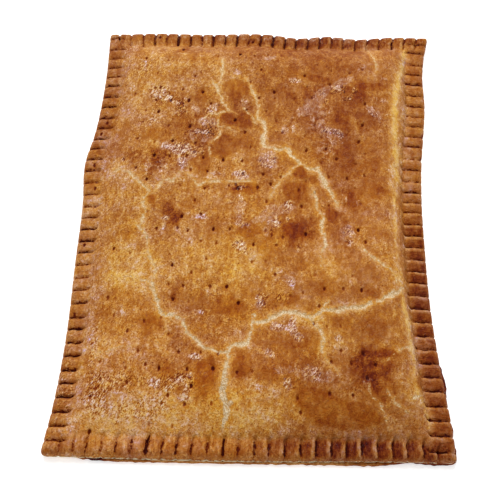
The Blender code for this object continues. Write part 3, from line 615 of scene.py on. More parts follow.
        (45, -137, 12, 7, 0, .65), (24, -137, 9, 4, 0, .6), (60, -139, 8, 5, 0, .5),
        (26, -147, 3, 3, 0, .9), (8, -150, 5, 4, 0, .5), (3, -80, 4, 8, 0, .7), (85, -143, 5, 5, 0, .5),
        (0, 191, 140, 6, 0, .35), (-118, 120, 5, 10, 0, .2))),
    # folds of that film: painted highlights, partly pale dried egg in the folds
    "shining": (0.60, (
        (-90, 121, 11, 8, -35, .9), (-81, 115, 2.5, 3.5, 0, 1.2), (-45, 103, 6, 6, 0, .7),
        (-52, 82, 8, 2.5, 0, .8), (-45, 90, 9, 3, 0, .6), (-70, 63, 10, 5, 0, .8),
        (-66, 49, 5, 5, 0, .9), (-82, 66, 3, 3, 0, 1.2), (-16, 38, 6, 4, 0, 1), (-15, 25, 4, 4, 0, 1.2),
        (-14, -11, 6, 2, 0, .8), (-76, -6, 3, 2, 0, .8), (-76, -15, 1.5, 2.5, 0, 1.2),
        (-46, -4, 6, 2.5, 0, .7), (-15, -27, 4, 3, 0, 1.2), (-14, -33, 5, 3, -30, 1.2),
        (-115, 50, 1.5, 2, 0, 1.2), (60, 86, 7, 4, 0, .9), (67, 83, 2, 3, 0, 1), (75, 121, 4, 4, 0, 1),
        (68, 132, 5, 5, 0, .8), (62, 130, 3, 4, 0, .7), (81, 128, 3, 4, 0, .8), (28, 142, 4, 2, 0, 1),
        (52, 128, 3, 2, 45, 1), (56, 117, 2, 4, 0, .7), (95, 106, 8, 3, -35, .5), (5, 50, 7, 6, 0, .7),
        (11, 52, 2, 3, 0, 1), (14, -8, 4, 4, 0, 1.2), (24, 10, 3, 4, 0, 1.2), (24, -2, 1.5, 3, 0, 1.2),
        (11, -17, 1.5, 4, 0, .9), (72, -15, 5, 4, 0, .6), (72, -24, 3, 2, 0, .9),
        (28, -62, 3, 4, 0, .8), (33, -30, 1.5, 4, 0, .9), (-62, -152, 1.8, 3.5, -30, 1.2),
        (-66, -163, 2, 1.5, 0, 1.2), (-49, -158, 3, 5, 0, .9), (-73, -147, 4, 3, 0, .8),
        (-52, -143, 8, 3, 0, .7), (-44, -126, 3, 2, 0, 1.2), (-47, -141, 2.5, 2, 0, 1.1),
        (-40, -89, 2, 2.5, 0, 1.2), (-95, -173, 16, 8, 0, .45), (-115, -160, 9, 14, 0, .75),
        (-75, -168, 18, 9, 0, .45), (-121, -125, 4, 26, 0, .45), (-100, -148, 16, 8, 0, .5),
        (-60, -148, 20, 8, 0, .45), (-72, 108, 7, 12, 0, .5), (-62, 62, 14, 8, 0, .6),
        (-45, 82, 12, 6, 0, .5), (-108, 150, 12, 12, 0, .35), (-96, 92, 10, 8, 0, .35),
        (17, -101, 6, 3, 0, .8), (28, -98, 3, 6, 0, 1), (33, -107, 3, 4, 40, 1),
        (65, -109, 3.5, 2.5, 20, 1), (12, -122, 2.5, 3, 0, 1), (26, -147, 2.5, 2.5, 0, 1.1),
        (5, -78, 4, 7, 0, 1), (20, -76, 6, 6, 0, .5), (45, -137, 10, 6, 0, .36),
        (-138, -150, 8, 40, 0, .35))),
}


def markField(x, y, kind):
    # the marks of one kind added up, each 1 inside its ellipse and fading over its soft edge
    soft, places = marks[kind]
    total = np.zeros(x.shape)
    for markX, markY, radiusX, radiusY, lean, strength in places:
        centreX, centreY = ontoCrust(markX, markY)
        turn = math.radians(lean)
        across = (x - centreX) * math.cos(turn) + (y - centreY) * math.sin(turn)
        along = (y - centreY) * math.cos(turn) - (x - centreX) * math.sin(turn)
        away = np.hypot(across / radiusX, along / radiusY)
        total = total + strength * (1 - smoothStep(1 - soft, 1 + soft, away))
    return total


def crackField(x, y):
    # distance to the nearest pale bed and to the end of its golden lips
    jaggedX, jaggedY = shaken(x, y, crackRelief["jagged"])
    bedGap, lipGap = np.full(x.shape, farAway), np.full(x.shape, farAway)
    for lips, knots in cracks.values():
        readX, readY, half = np.array(knots).T
        gap = gapToPath(jaggedX, jaggedY, np.column_stack((*ontoCrust(readX, readY), half)))
        bedGap, lipGap = np.minimum(bedGap, gap), np.minimum(lipGap, gap - lips)
    return bedGap, lipGap


def gridPlace(x, y):
    # the rectangle's point that lies at (x, y) on the outline, by a few corrections
    u, v = x, y
    for _ in range(6):
        nowX, nowY = placeOnOutline(u, v)
        u, v = u + x - nowX, v + y - nowY
    return u, v


def besideHole(u, v, holeU, holeV):
    # which points lie in the square that a hole changes
    return (np.abs(u - holeU) < hole["reach"]) & (np.abs(v - holeV) < hole["reach"])


def gatheredGrid(evenU, evenV, drawnU, drawnV):
    # the grid with its lines gathered at the rim's grooves, at the rounded edge and at each docking
    # hole, as a power of the distance to it; the holes come with it as (u, v, strength)
    gaps = distancesIn(evenU, evenV)
    endPull = 1 - smoothStep(*grid["drawFade"], np.minimum(gaps["front"], gaps["back"]))
    sidePull = 1 - smoothStep(*grid["drawFade"], np.minimum(gaps["left"], gaps["right"]))
    u = gatherAtEdge(evenU + endPull * (drawnU - evenU), pie["width"])
    v = gatherAtEdge(evenV + sidePull * (drawnV - evenV), pie["length"])

    random = np.random.default_rng(hole["seed"])
    holes = []
    for kind, places in dockingHoles.items():
        holesU, holesV = gridPlace(*ontoCrust(*np.array(places).T))
        strengths = hole["strength"][kind] + hole["spread"] * random.uniform(-1, 1, len(places))
        holes += list(zip(holesU, holesV, strengths))
    for holeU, holeV, _ in holes:
        box = besideHole(u, v, holeU, holeV)
        share = np.clip(np.hypot(u[box] - holeU, v[box] - holeV) / hole["reach"], 1e-6, 1)
        u[box] = holeU + (u[box] - holeU) * share ** grid["holeDraw"]
        v[box] = holeV + (v[box] - holeV) * share ** grid["holeDraw"]
    return u, v, holes


def pressCrimps(u, v, gaps, x, y, z):
    # crimps: a groove between lobes, each lobe between a pillow and a scoop with one ridge. Gives
    # the moved places, the distance to the dark line in each groove (painted shade in the crease), how
    # dark that line is, and how much lighter or darker the crimps make the crust (partly painted light
    # and shade)
    grooveGap = np.full(u.shape, farAway)
    grooveInk, grooveShade, scooped, ridge, browning, browned = [np.zeros(u.shape) for _ in range(6)]
    for side, gap in gaps.items():
        isEnd = side in ("front", "back")
        along, size = (u, pie["width"]) if isEnd else (v, pie["length"])
        crimps = pie["crimpsAcross"] if isEnd else pie["crimpsAlong"]
        lobe = along * crimps / size
        bend = smoothStep(3, 9, gap) * rim["grooveBend"] * unevenness(gap, np.round(lobe), 5.0, 72)
        groove, fall, phase, toGroove = crimpPhase(along + bend, size, crimps)
        strength, drift = handPressing(side, along, size, crimps)
        # crimps start at 0.3 of their depth at the very edge, and so does the weakest groove
        fade = 1 - smoothStep(*rim["crimpFade"][side], gap)
        reach = (0.3 + 0.7 * smoothStep(0.0, rim["crimpStart"], gap)) * fade
        scoop = throughKnots(rim["scoop"][side], along)
        hollow = rim["scoopDepth"] * (1 - smoothStep(0.05, 0.86, phase))
        z = z - reach * (rim["grooveDepth"] * (0.3 + 0.7 * strength) * groove
                         + (1 - scoop) * rim["lobeFall"] * fall + scoop * hollow)
        # the groove dents the edge, and hand pressing shifts it from an even spacing
        inward = 1 if side in ("left", "front") else -1
        nearEdge = np.clip(1 - gap / rim["scallopReach"], 0.0, 1.0)
        dent = inward * rim["scallop"][side] * groove * nearEdge
        x = x + (drift * fade if isEnd else dent)
        y = y + (dent if isEnd else drift * fade)

        # the dark line, painted shade in the groove's crease, is wider in a strong groove, and runs out
        # at both ends
        uneven = gap + rim["lineUneven"] * unevenness(np.round(phase + lobe), 0.0, 0.9, 71)
        ends = smoothStep(*rim["lineStart"][side], gap) * (1 - smoothStep(*rim["lineEnd"][side], uneven))
        line = toGroove - 0.35 * strength - 2.0 * np.clip(strength - 1, 0, 1) + 2.5 * (1 - ends)
        grooveInk = np.where(line < grooveGap, np.clip(0.3 + 0.8 * strength, 0, 1), grooveInk)
        grooveGap = np.minimum(grooveGap, line)
        shade = rim["grooveShade"][side] * np.exp(-(np.maximum(line, 0) / 2.0) ** 2)
        grooveShade = np.maximum(grooveShade, shade)
        scooped = np.maximum(scooped, scoop * ends * (1 - smoothStep(0.5, 0.8, phase)))
        onRidge = smoothStep(0.64, 0.8, phase) * (1 - smoothStep(0.9, 0.98, phase))
        ridge = np.maximum(ridge, scoop * ends * onRidge)
        # at a corner the browning of the first edge counts, and not both
        onRim = 1 - smoothStep(12.0, 17.0, gap)
        browning = browning + (1 - browned) * onRim * throughKnots(rim["browning"][side], along)
        browned = np.maximum(browned, onRim)
    # the ridge drawn lighter and the scoop darker: painted highlight and shade of the relief, partly
    # paler and browner dough; the darkening beside grooves is painted shade
    lighter = baking["ridge"] * ridge - baking["scoop"] * scooped - grooveShade - browning
    return x, y, z, grooveGap, grooveInk, lighter


def prickHoles(u, v, z, holes):
    # docking holes: a pit in a shallow dimple. Gives the height, the distance to the nearest pit's
    # wall, and how dark that pit is drawn, as painted shade in the pit
    holeGap, holeInk = np.full(u.shape, farAway), np.zeros(u.shape)
    for holeU, holeV, strength in holes:
        box = besideHole(u, v, holeU, holeV)
        away = np.hypot(u[box] - holeU, (v[box] - holeV) / hole["stretch"])
        radius = np.interp(strength, (0, 1), hole["radius"])
        depth = np.interp(strength, (0, 1), hole["depth"])
        dimple = hole["dimpleDepth"] * np.exp(-(away / hole["dimpleRadius"]) ** 2)
        z[box] -= depth * np.exp(-(away / radius) ** 2) + dimple
        pit = away - radius * 0.85
        # the holes at the back right are fainter
        soft = 1 - 0.35 * smoothStep(-10, 40, holeU) * smoothStep(-10, 40, holeV)
        # how dark the pit is drawn: painted shade in the pit
        ink = soft * (0.3 + 0.65 * np.clip(strength, 0, 1))
        holeInk[box] = np.where(pit < holeGap[box], ink, holeInk[box])
        holeGap[box] = np.minimum(holeGap[box], pit)
    return z, holeGap, holeInk


baking = {
    # how uneven the edges of the marks are (as in shaken)
    "patchy": ((2.0, 8.0, 61, 63), (0.9, 3.5, 62, 64)),
    # lightness of the crust before its marks, 0 dark to 1 pale, and how much less at the right
    "tone": 0.615, "darkerRight": 0.070,
    # cloudy lightness: amount, size in mm, seed
    "clouds": ((0.02, 26, 37), (0.025, 13, 38)),
    # scoop and ridge: how much darker the scoop and lighter the ridge are drawn, painted shade and
    # highlight with some browner and paler dough
    "rimTone": 0.03, "scoop": 0.16, "ridge": 0.25,
    # how speckled the crust is, and how much less at the right, under glaze or film, and on the rim
    "grain": 0.85, "grainRight": 0.40, "grainAmber": 0.7, "grainFilm": 0.1, "grainRim": 0.6,
}


def crustSurface(evenU, evenV, drawnU, drawnV):
    # place and height of the crust's upper side over the grid, with its painted fields
    u, v, holes = gatheredGrid(evenU, evenV, drawnU, drawnV)
    gaps = distancesIn(u, v)
    toSide, toEnd = np.minimum(gaps["left"], gaps["right"]), np.minimum(gaps["front"], gaps["back"])
    nearest = np.minimum(toSide, toEnd)
    x, y = placeOnOutline(u, v)

    # the rim rounds over from the edge, as a quarter of an ellipse
    rounding = 1 - np.clip(nearest / rim["rounding"], 0.0, 1.0)
    z = rim["edgeHeight"] + (rim["height"] - rim["edgeHeight"]) * np.sqrt(1 - rounding ** 2)
    x, y, z, grooveGap, grooveInk, crimpTone = pressCrimps(u, v, gaps, x, y, z)

    # the filling lifts the middle, with a slow swell of two waves and the lumps of the filling below
    lift = domeLift(gaps)
    swell, slant = dome["swells"]
    swell = swell * np.sin(u / 31 + 1.3) * np.sin(v / 37 + 0.4) + slant * np.sin(u / 19 - v / 27 + 2)
    z = z + lift * (dome["rise"] + swell)
    for height, size, seed in dome["lumps"]:
        z = z + lift * height * unevenness(x, y, size, seed)
    height, size, seed = dome["skin"]
    z = z + height * unevenness(x, y, size, seed) * smoothStep(1, 5, nearest)

    # what the oven left, and the painted highlights on the film, looked up at shaken places so that its
    # edges are uneven
    patchyX, patchyY = shaken(x, y, baking["patchy"])
    mark = {kind: markField(patchyX, patchyY, kind) for kind in marks}
    film = np.clip(mark["film"], 0, 1)
    height, size, seed = dome["driedFilm"]
    z = z + film * height * unevenness(x, y, size, seed)

    # cracks: torn lips a little proud, the bed of pale dough sunk between them
    bedGap, lipGap = crackField(x, y)
    z = z + crackRelief["lip"] * np.exp(-((bedGap - 0.7) / 1.1) ** 2)
    z = z - crackRelief["bed"] * (1 - smoothStep(-1.1, 0.5, bedGap))
    creaseGap = np.full(u.shape, farAway)
    for knots in creases:
        readX, readY, half = np.array(knots).T
        places = np.column_stack((*ontoCrust(readX, readY), half))
        creaseGap = np.minimum(creaseGap, gapToPath(patchyX * 0.4 + x * 0.6, y, places))
    z, holeGap, holeInk = prickHoles(u, v, z, holes)

    rimShare, rightShare = 1 - smoothStep(14, 19, nearest), smoothStep(-110, 110, x)
    tone = baking["tone"] - baking["darkerRight"] * rightShare + baking["rimTone"] * rimShare
    tone = tone - mark["scorched"] - mark["browned"] + mark["pale"] + crimpTone
    for amount, size, seed in baking["clouds"]:
        tone = tone + amount * unevenness(x, y, size, seed)
    grain = baking["grain"] - baking["grainRight"] * smoothStep(-60, 90, x)
    grain = grain - baking["grainAmber"] * mark["amber"] - baking["grainFilm"] * film
    grain = grain - baking["grainRim"] * rimShare
    sideRim, endRim = 1 - smoothStep(13, 19, toSide), 1 - smoothStep(13, 19, toEnd)
    fields = {"bedGap": bedGap, "lipGap": lipGap, "holeGap": holeGap, "holeInk": holeInk,
              "grooveGap": grooveGap, "grooveInk": grooveInk, "tone": tone, "creaseGap": creaseGap,
              "film": film, "shining": mark["shining"], "amber": mark["amber"], "grain": grain,
              "dull": mark["dull"] - 2.5 * mark["scorched"], "rosy": mark["rosy"],
              "sideRim": sideRim * (1 - endRim), "endRim": endRim, "cutEdge": np.zeros(u.shape)}
    uv = np.stack((u / pie["width"] + 0.5, v / pie["length"] + 0.5), -1)
    return np.stack((x, y, z), -1), fields, uv


def makeMesh(name, points, quads, caps, fields, uv):
    # one closed mesh from whole arrays, in metres, with a float attribute for each field
    mesh = bpy.data.meshes.new(name)
    mesh.from_pydata(points * mm, [], quads.tolist() + caps)
    mesh.validate()
    for fieldName, values in fields.items():
        attribute = mesh.attributes.new(fieldName, "FLOAT", "POINT")
        attribute.data.foreach_set("value", values.astype(np.float32))
    layer = mesh.uv_layers.new(name="OFBake")
    corners = np.zeros(len(mesh.loops), dtype=np.int32)
    mesh.loops.foreach_get("vertex_index", corners)
    layer.data.foreach_set("uv", uv[corners].astype(np.float32).ravel())
    mesh.shade_smooth()
    piece = bpy.data.objects.new(name, mesh)
    bpy.context.scene.collection.objects.link(piece)
    return piece


# The cut side below the rounded edge.
cutSide = {
    # for each ring of points: its share of the way down to the bottom crust, the share of the flare
    # that it stands out by, and how far it is drawn in, in mm
    "rings": ((0.15, 0.5, 0.0), (0.4, 1.0, 0.0), (0.7, 0.9, 0.0), (0.9, 0.2, 0.5), (1.0, 0.0, 1.5)),
    # mm: how far it flares out along the front and at the other edges, and how ragged it is
    "frontFlare": ((-150, 0.2), (-110, 0.7), (0, 0.8), (60, 0.4), (100, 0.1), (150, 0.0)),
    "flare": 0.1, "ragged": 0.18,
}


def makeTopCrust(material):
    # the upper side over its grid, then rings of points down the cut side, closed by a flat face
    evenU, drawnU = gatheredLines(pie["width"], pie["crimpsAcross"])
    evenV, drawnV = gatheredLines(pie["length"], pie["crimpsAlong"])
    points, fields, uv = crustSurface(*np.meshgrid(evenU, evenV, indexing="ij"),
                                      *np.meshgrid(drawnU, drawnV, indexing="ij"))
    across, along = points.shape[:2]
    index = np.arange(across * along).reshape(across, along)
    quads = np.stack((index[:-1, :-1], index[1:, :-1], index[1:, 1:], index[:-1, 1:]), -1).reshape(-1, 4)

    border = np.concatenate((index[:-1, 0], index[-1, :-1], index[:0:-1, -1], index[0, :0:-1]))
    flat = points.reshape(-1, 3)
    top = flat[border]
    ahead, behind = np.roll(top, -1, axis=0), np.roll(top, 1, axis=0)
    outward = np.stack((ahead[:, 1] - behind[:, 1], behind[:, 0] - ahead[:, 0]), -1)
    outward /= np.linalg.norm(outward, axis=1, keepdims=True)
    underside = pie["sheetThickness"] + pie["sheetGap"]
    rows, rowFields = [flat], {key: [values.ravel()] for key, values in fields.items()}
    # the upper side takes the left of the UV map, and the cut side a strip beside it
    rowUv = [uv.reshape(-1, 2) * (0.72, 1.0)]
    count = len(border)
    walk = np.arange(count)
    isFront = walk < across - 1
    flare = np.where(isFront, throughKnots(cutSide["frontFlare"], top[:, 0]), cutSide["flare"])
    for share, flareShare, drawnIn in cutSide["rings"]:
        ragged = cutSide["ragged"] * (share < 1) * unevenness(walk, share * 9.0, 2.3, 39)
        out = ragged + flare * flareShare - drawnIn
        height = top[:, 2] + (underside - top[:, 2]) * share
        rows.append(np.column_stack((top[:, :2] + outward * out[:, None], height)))
        for key, values in rowFields.items():
            values.append(np.full(count, share) if key == "cutEdge" else values[0][border])
        rowUv.append(np.column_stack((np.full(count, 0.74 + 0.02 * share), walk / count)))
    rings = [border] + [across * along + walk + k * count for k in range(len(cutSide["rings"]))]
    for upper, lower in zip(rings, rings[1:]):
        wall = np.stack((upper, lower, np.roll(lower, -1), np.roll(upper, -1)), -1)
        quads = np.concatenate((quads, wall))
    piece = makeMesh("bakedTopCrust", np.concatenate(rows), quads, [rings[-1][::-1].tolist()],
                     {key: np.concatenate(values) for key, values in rowFields.items()},
                     np.concatenate(rowUv))
    piece.data.materials.append(material)
    return piece


sheet = {
    # how far it stands proud of the top crust along each edge
    "proud": {
        "left": ((-202, -0.8), (202, -0.8)),
        "right": ((-202, 1.0), (-192, 1.0), (-186, -0.6), (-178, 1.0), (-170, -0.6), (-156, -0.6),
                  (-148, 1.4), (-130, 1.4), (-120, -0.8), (202, -0.8)),
        "front": ((-150, -0.8), (-134, -1.2), (-127, -0.2), (-116, 0.9), (-50, 1.4), (0, 1.2),
                  (50, 1.6), (96, 1.8), (118, -0.6), (132, 0.6), (150, -0.4)),
        "back": ((-150, -0.8), (150, -0.8)),
    },
    "layers": 3,
    # mm: how far its flakes, its layers and the middle of its edge stand out, and how far all of it
    # is set back for them
    "flake": 0.45, "layerOut": 0.16, "bulge": 0.55, "setBack": 0.15,
    "tuck": 2.5,             # the upper face's outer strip, which runs in under the top crust
    "stepsPerCrimp": 11, "stepsPerLayer": 4,
}


def makeBottomCrust(material):
    # a profile of flaky layers carried round the outline, closed by two flat faces
    across, along = [pie[key] * sheet["stepsPerCrimp"] + 1 for key in ("crimpsAcross", "crimpsAlong")]
    us = np.linspace(-pie["width"] / 2, pie["width"] / 2, across)
    vs = np.linspace(-pie["length"] / 2, pie["length"] / 2, along)
    left, right = np.full(along - 1, us[0]), np.full(along - 1, us[-1])
    front, back = np.full(across - 1, vs[0]), np.full(across - 1, vs[-1])
    u = np.concatenate((us[:-1], right, us[:0:-1], left))
    v = np.concatenate((front, vs[:-1], back, vs[:0:-1]))
    x, y = placeOnOutline(u, v, sheet["proud"])
    tangent = np.stack((np.roll(x, -1) - np.roll(x, 1), np.roll(y, -1) - np.roll(y, 1)), -1)
    outward = np.stack((tangent[:, 1], -tangent[:, 0]), -1)
    outward /= np.linalg.norm(outward, axis=1, keepdims=True)
    walk = np.concatenate(([0], np.cumsum(np.hypot(np.diff(x), np.diff(y)))))
    count = len(x)

    # each ring of the profile: its height and how far out it stands, up the edge and then inwards
    thick = pie["sheetThickness"]
    profile = []
    for k, level in enumerate(np.linspace(0, thick, sheet["stepsPerLayer"] * sheet["layers"] + 1)):
        share = level / thick
        bulge = sheet["bulge"] * (math.sqrt(max(0.0, 1 - (2 * share - 1) ** 2)) - 1)
        layer = sheet["layerOut"] * math.sin(share * sheet["layers"] * 2 * math.pi)
        flakes = sheet["flake"] * unevenness(walk, share * 4.2, 3.2, 41) * (0.2 if k == 0 else 1)
        profile.append((level, share, bulge + layer + flakes - sheet["setBack"]))
    for drop, inset in ((0.05, 0.35), (0.1, 1.0)):
        profile.append((thick - drop, 1.0, np.full(count, -inset * sheet["tuck"])))
    rings = [np.column_stack((x + outward[:, 0] * out, y + outward[:, 1] * out, np.full(count, level)))
             for level, _, out in profile]
    layerHeight = np.concatenate([np.full(count, share) for _, share, _ in profile])
    index = np.arange(len(rings) * count).reshape(len(rings), count)
    quads = np.stack((index[:-1], np.roll(index[:-1], -1, 1), np.roll(index[1:], -1, 1), index[1:]), -1)
    uv = np.concatenate([np.column_stack((walk / walk[-1], np.full(count, 0.02 + 0.06 * k / len(rings))))
                         for k in range(len(rings))])
    # burnt at the right; at one place at the front left, painted shade of the gap under the top crust
    burntAndGapShade = smoothStep(60, 140, x) + 1.6 * np.exp(-((x + 113) / 9) ** 2) * smoothStep(-150, -190, y)
    piece = makeMesh("bakedBottomCrust", np.concatenate(rings), quads.reshape(-1, 4),
                     [index[0][::-1].tolist(), index[-1].tolist()],
                     {"layerHeight": layerHeight, "burntAndGapShade": np.tile(burntAndGapShade, len(rings))}, uv)
    piece.data.materials.append(material)
    return piece


def addNode(material, kind, inputs=(), output=0, **settings):
    # one node with its settings; inputs are values or sockets, by place or by name
    node = material.node_tree.nodes.new("ShaderNode" + kind)
    for key, value in settings.items():
        setattr(node, key, value)
    for key, value in (inputs.items() if isinstance(inputs, dict) else enumerate(inputs)):
        if isinstance(value, bpy.types.NodeSocket):
            material.node_tree.links.new(value, node.inputs[key])
        else:
            node.inputs[key].default_value = value
    return node.outputs[output]


def newMaterial(name, roughness, ior):
    # a plain surface to build on, and its shader
    material = bpy.data.materials.new(name)
    material.use_nodes = True
    shader = material.node_tree.nodes["Principled BSDF"]
    shader.inputs["Roughness"].default_value = roughness
    shader.inputs["IOR"].default_value = ior
    return material, shader


# Baked wheat dough goes through these colours as it browns: (lightness share, colour)
bakingColours = (
    (0.00, "3C0A04"), (0.12, "5A1604"), (0.22, "702907"), (0.31, "843B0A"), (0.40, "954E14"),
    (0.50, "A56125"), (0.60, "B47434"), (0.70, "C48847"), (0.80, "D29D60"), (0.90, "DDB37E"),
    (1.00, "E8C49A"),
)


def bakedDough(material, tone):
    # the colour of dough baked to this tone
    ramp = material.node_tree.nodes.new("ShaderNodeValToRGB")
    while len(ramp.color_ramp.elements) < len(bakingColours):
        ramp.color_ramp.elements.new(0.5)
    for element, (position, hexText) in zip(ramp.color_ramp.elements, bakingColours):
        element.position = position
        element.color = linearColour(hexText)
    material.node_tree.links.new(tone, ramp.inputs["Fac"])
    return ramp.outputs["Color"]


crustLook = {
    "roughness": 0.45, "ior": 1.45, "specular": 0.08, "coatRoughness": 0.12, "bumpHeight": 0.9,
    # dough in the cracks, the painted highlight on the folds of the film, and dough on the cut side
    "crackLow": "C79F68", "crackHigh": "F0DDBA", "foldHighlightColour": "F1DCC6", "cutDough": "DDCBA6",
    # tones of single places (the darkest, in grooves and pits, painted shade), and what thick glaze and
    # dried film do to the tone
    "lipTone": 0.80, "creaseTone": 0.93, "grooveTone": 0.03, "holeTone": 0.03,
    "amberDrop": -0.12, "filmLift": 0.06,
    # how dull the colour starts, and how much redder or greener one step of rosy or dull makes it
    "dullStart": -0.16, "rosyRed": 0.03, "dullGreen": 0.12,
    # uneven patterns on the crust: size in mm, detail, warp, roughness, how much longer they are
    # than wide, and how far they lean to the right, in radians. A pixel of the photo's frame is
    # nearly 1 mm of crust, so grit and brush marks, which are finer, are drawn at about 1 mm
    "patterns": {
        "broad": (13, 4, 0.6, 0.5, 1.0, 0.0), "blotch": (5.0, 4, 1.0, 0.55, 1.3, 0.4),
        "ragged": (2.6, 3, 0.4, 0.5, 1.0, 0.0), "fine": (1.7, 3, 0.6, 0.5, 1.0, 0.0),
        "speck": (0.9, 1, 0.0, 0.5, 1.0, 0.0), "hue": (3.2, 3, 0.4, 0.5, 1.0, 0.0),
        "hueBroad": (18, 2, 0.0, 0.5, 1.0, 0.0), "brushed": (1.5, 3, 0.3, 0.5, 4.5, 0.0),
        "brushedBroad": (4.2, 3, 0.4, 0.5, 3.3, 0.0), "puckered": (1.3, 2, 0.0, 0.5, 6.0, 1.57),
        "fold": (1.0, 1.0, 0.8, 0.4, 2.6, 0.6), "crinkle": (3.8, 2.5, 1.3, 0.5, 1.7, 0.2),
        "wrinkle": (3.6, 1, 1.3, 0.35, 1.7, 0.0),
    },
}


def makeCrustMaterial():
    # Wheat dough brushed with egg and baked: golden where thin, red brown where it sat hottest,
    # pale in the tears. The egg gives a broken gloss; the dough under it is dull.
    look = crustLook
    material, shader = newMaterial("eggWashedBakedCrust", look["roughness"], look["ior"])
    place = addNode(material, "TexCoord", output="Object")
    field = {key: addNode(material, "Attribute", output="Fac", attribute_name=key)
             for key in ("bedGap", "lipGap", "holeGap", "holeInk", "grooveGap", "grooveInk", "tone",
                         "creaseGap", "film", "shining", "amber", "dull", "rosy", "grain",
                         "endRim", "sideRim", "cutEdge")}
    # each pattern is a noise around zero on object coordinates, moved aside from the one before
    noise = {}
    for name, (size, detail, warp, rough, longer, lean) in look["patterns"].items():
        aside = (0.1 * len(noise), 0.07 * len(noise), 0)
        moved = addNode(material, "Mapping", {"Vector": place, "Scale": (1, longer, 1),
                                              "Rotation": (0, 0, -lean), "Location": aside},
                        vector_type="TEXTURE")
        grey = addNode(material, "TexNoise", {"Vector": moved, "Scale": 1 / (size * mm), "Detail": detail,
                                              "Roughness": rough, "Distortion": warp}, "Fac")
        noise[name] = addNode(material, "Math", (grey, 0.5), operation="SUBTRACT")
    broad, blotch, ragged = noise["broad"], noise["blotch"], noise["ragged"]
    fine, speck, brushed = noise["fine"], noise["speck"], noise["brushed"]

    # Weighted sums: what each starts from, then (socket, weight) pairs added to it.
    sums = {
        "patchy": (0.0, ((broad, 1.0),)),
        "blotchy": (0.0, ((blotch, 1.0), (noise["brushedBroad"], 0.7))),
        "grainy": (field["grain"], ((broad, 2.0), (blotch, 1.0))),
        "grit": (0.0, ((fine, 0.28), (speck, 0.34), (brushed, 0.20), (ragged, 0.10))),
        "amber": (field["amber"], ((blotch, 1.5), (ragged, 0.9), (fine, 0.4))),
        "film": (field["film"], ((blotch, 1.4), (ragged, 0.8), (brushed, 0.7))),
        "shining": (field["shining"], ((blotch, 1.0), (ragged, 0.6))),
        "glint": (field["shining"], ((blotch, 1.6), (ragged, 1.0))),
        "bedGap": (field["bedGap"], ((fine, 4.4), (ragged, 5.0), (blotch, 2.0), (speck, 2.0))),
        "lipGap": (field["lipGap"], ((fine, 4.0), (ragged, 6.0), (blotch, 5.0))),
        "creaseGap": (field["creaseGap"], ((ragged, 4.0), (fine, 3.0))),
        "grooveGap": (field["grooveGap"], ((fine, 3.2), (ragged, 3.2), (blotch, 1.4))),
        "holeGap": (field["holeGap"], ((fine, 1.2), (ragged, 1.0))),
        "cutEdge": (field["cutEdge"], ((blotch, 1.6), (ragged, 1.2), (fine, 0.8))),
        "bedSpeck": (0.0, ((fine, 1.0), (speck, 1.0), (blotch, 0.4))),
        "lipTone": (look["lipTone"], ((fine, 0.6), (speck, 0.6), (blotch, 0.5))),
        "creaseTone": (look["creaseTone"], ((fine, 0.5), (speck, 0.4), (blotch, 0.9))),
    }
    for name, (total, parts) in sums.items():
        for socket, weight in parts:
            total = addNode(material, "Math", (socket, weight, total), operation="MULTIPLY_ADD")
        sums[name] = total
    crinkleSize = addNode(material, "Math", (noise["crinkle"],), operation="ABSOLUTE")

    # S curves: what each reads, from value, to value, result at either end.
    curves = {
        "patchy": (sums["patchy"], -0.03, 0.03, -0.5, 0.5),
        "blotchy": (sums["blotchy"], -0.022, 0.022, -0.5, 0.5),
        "grainy": (sums["grainy"], 0.0, 1.0, 0.50, 1.65),
        "amber": (sums["amber"], 0.35, 0.60, 0.0, 1.0),
        "film": (sums["film"], 0.28, 0.66, 0.0, 1.0),
        "shining": (sums["shining"], 0.15, 0.60, 0.0, 1.0),
        "glint": (sums["glint"], 0.72, 1.20, 0.0, 1.0),
        "bedGap": (sums["bedGap"], -0.9, 0.65, 0.95, 0.0),
        "lipGap": (sums["lipGap"], -2.4, 0.4, 0.72, 0.0),
        "creaseGap": (sums["creaseGap"], -2.6, 0.9, 0.95, 0.0),
        "grooveGap": (sums["grooveGap"], -0.1, 0.9, 1.0, 0.0),
        "holeGap": (sums["holeGap"], -0.1, 0.8, 1.0, 0.0),
        "bedSpeck": (sums["bedSpeck"], -0.16, 0.16, 0.0, 1.0),
        "cutEdge": (sums["cutEdge"], -0.05, 0.45, 0.0, 0.95),
        # the crust beside a crack or the crease is lighter
        "lipGlow": (field["lipGap"], -1.0, 4.5, 0.06, 0.0),
        "creaseGlow": (field["creaseGap"], -1.0, 5.0, 0.13, 0.0),
        # thin light crinkles are the contour lines of a noise; dots are scattered dark specks
        "crinkle": (crinkleSize, 0.0, 0.04, 1.0, 0.0), "dots": (speck, -0.30, -0.17, 1.0, 0.0),
        # the film is drawn up in fine folds: light and dark streaks side by side are painted highlight
        # and shade of the folds, the highest painted as glints
        "peaks": (noise["fold"], -0.2, 0.2, -1.0, 1.0),
        "streaks": (noise["fold"], -0.12, 0.12, -0.5, 0.5),
        "fold": (noise["fold"], 0.05, 0.15, 0.0, 0.75),
    }
    share = {name: addNode(material, "MapRange", ends, interpolation_type="SMOOTHSTEP")
             for name, ends in curves.items()}
    onSide = addNode(material, "MapRange", (field["cutEdge"], 0.0, 0.15, 0.0, 1.0))
    # some of them count only in part of the crust, or as strongly as it says there
    for name, within in (("grooveGap", field["grooveInk"]), ("holeGap", field["holeInk"]),
                         ("cutEdge", onSide), ("streaks", share["shining"]), ("fold", share["glint"])):
        share[name] = addNode(material, "Math", (share[name], within), operation="MULTIPLY")
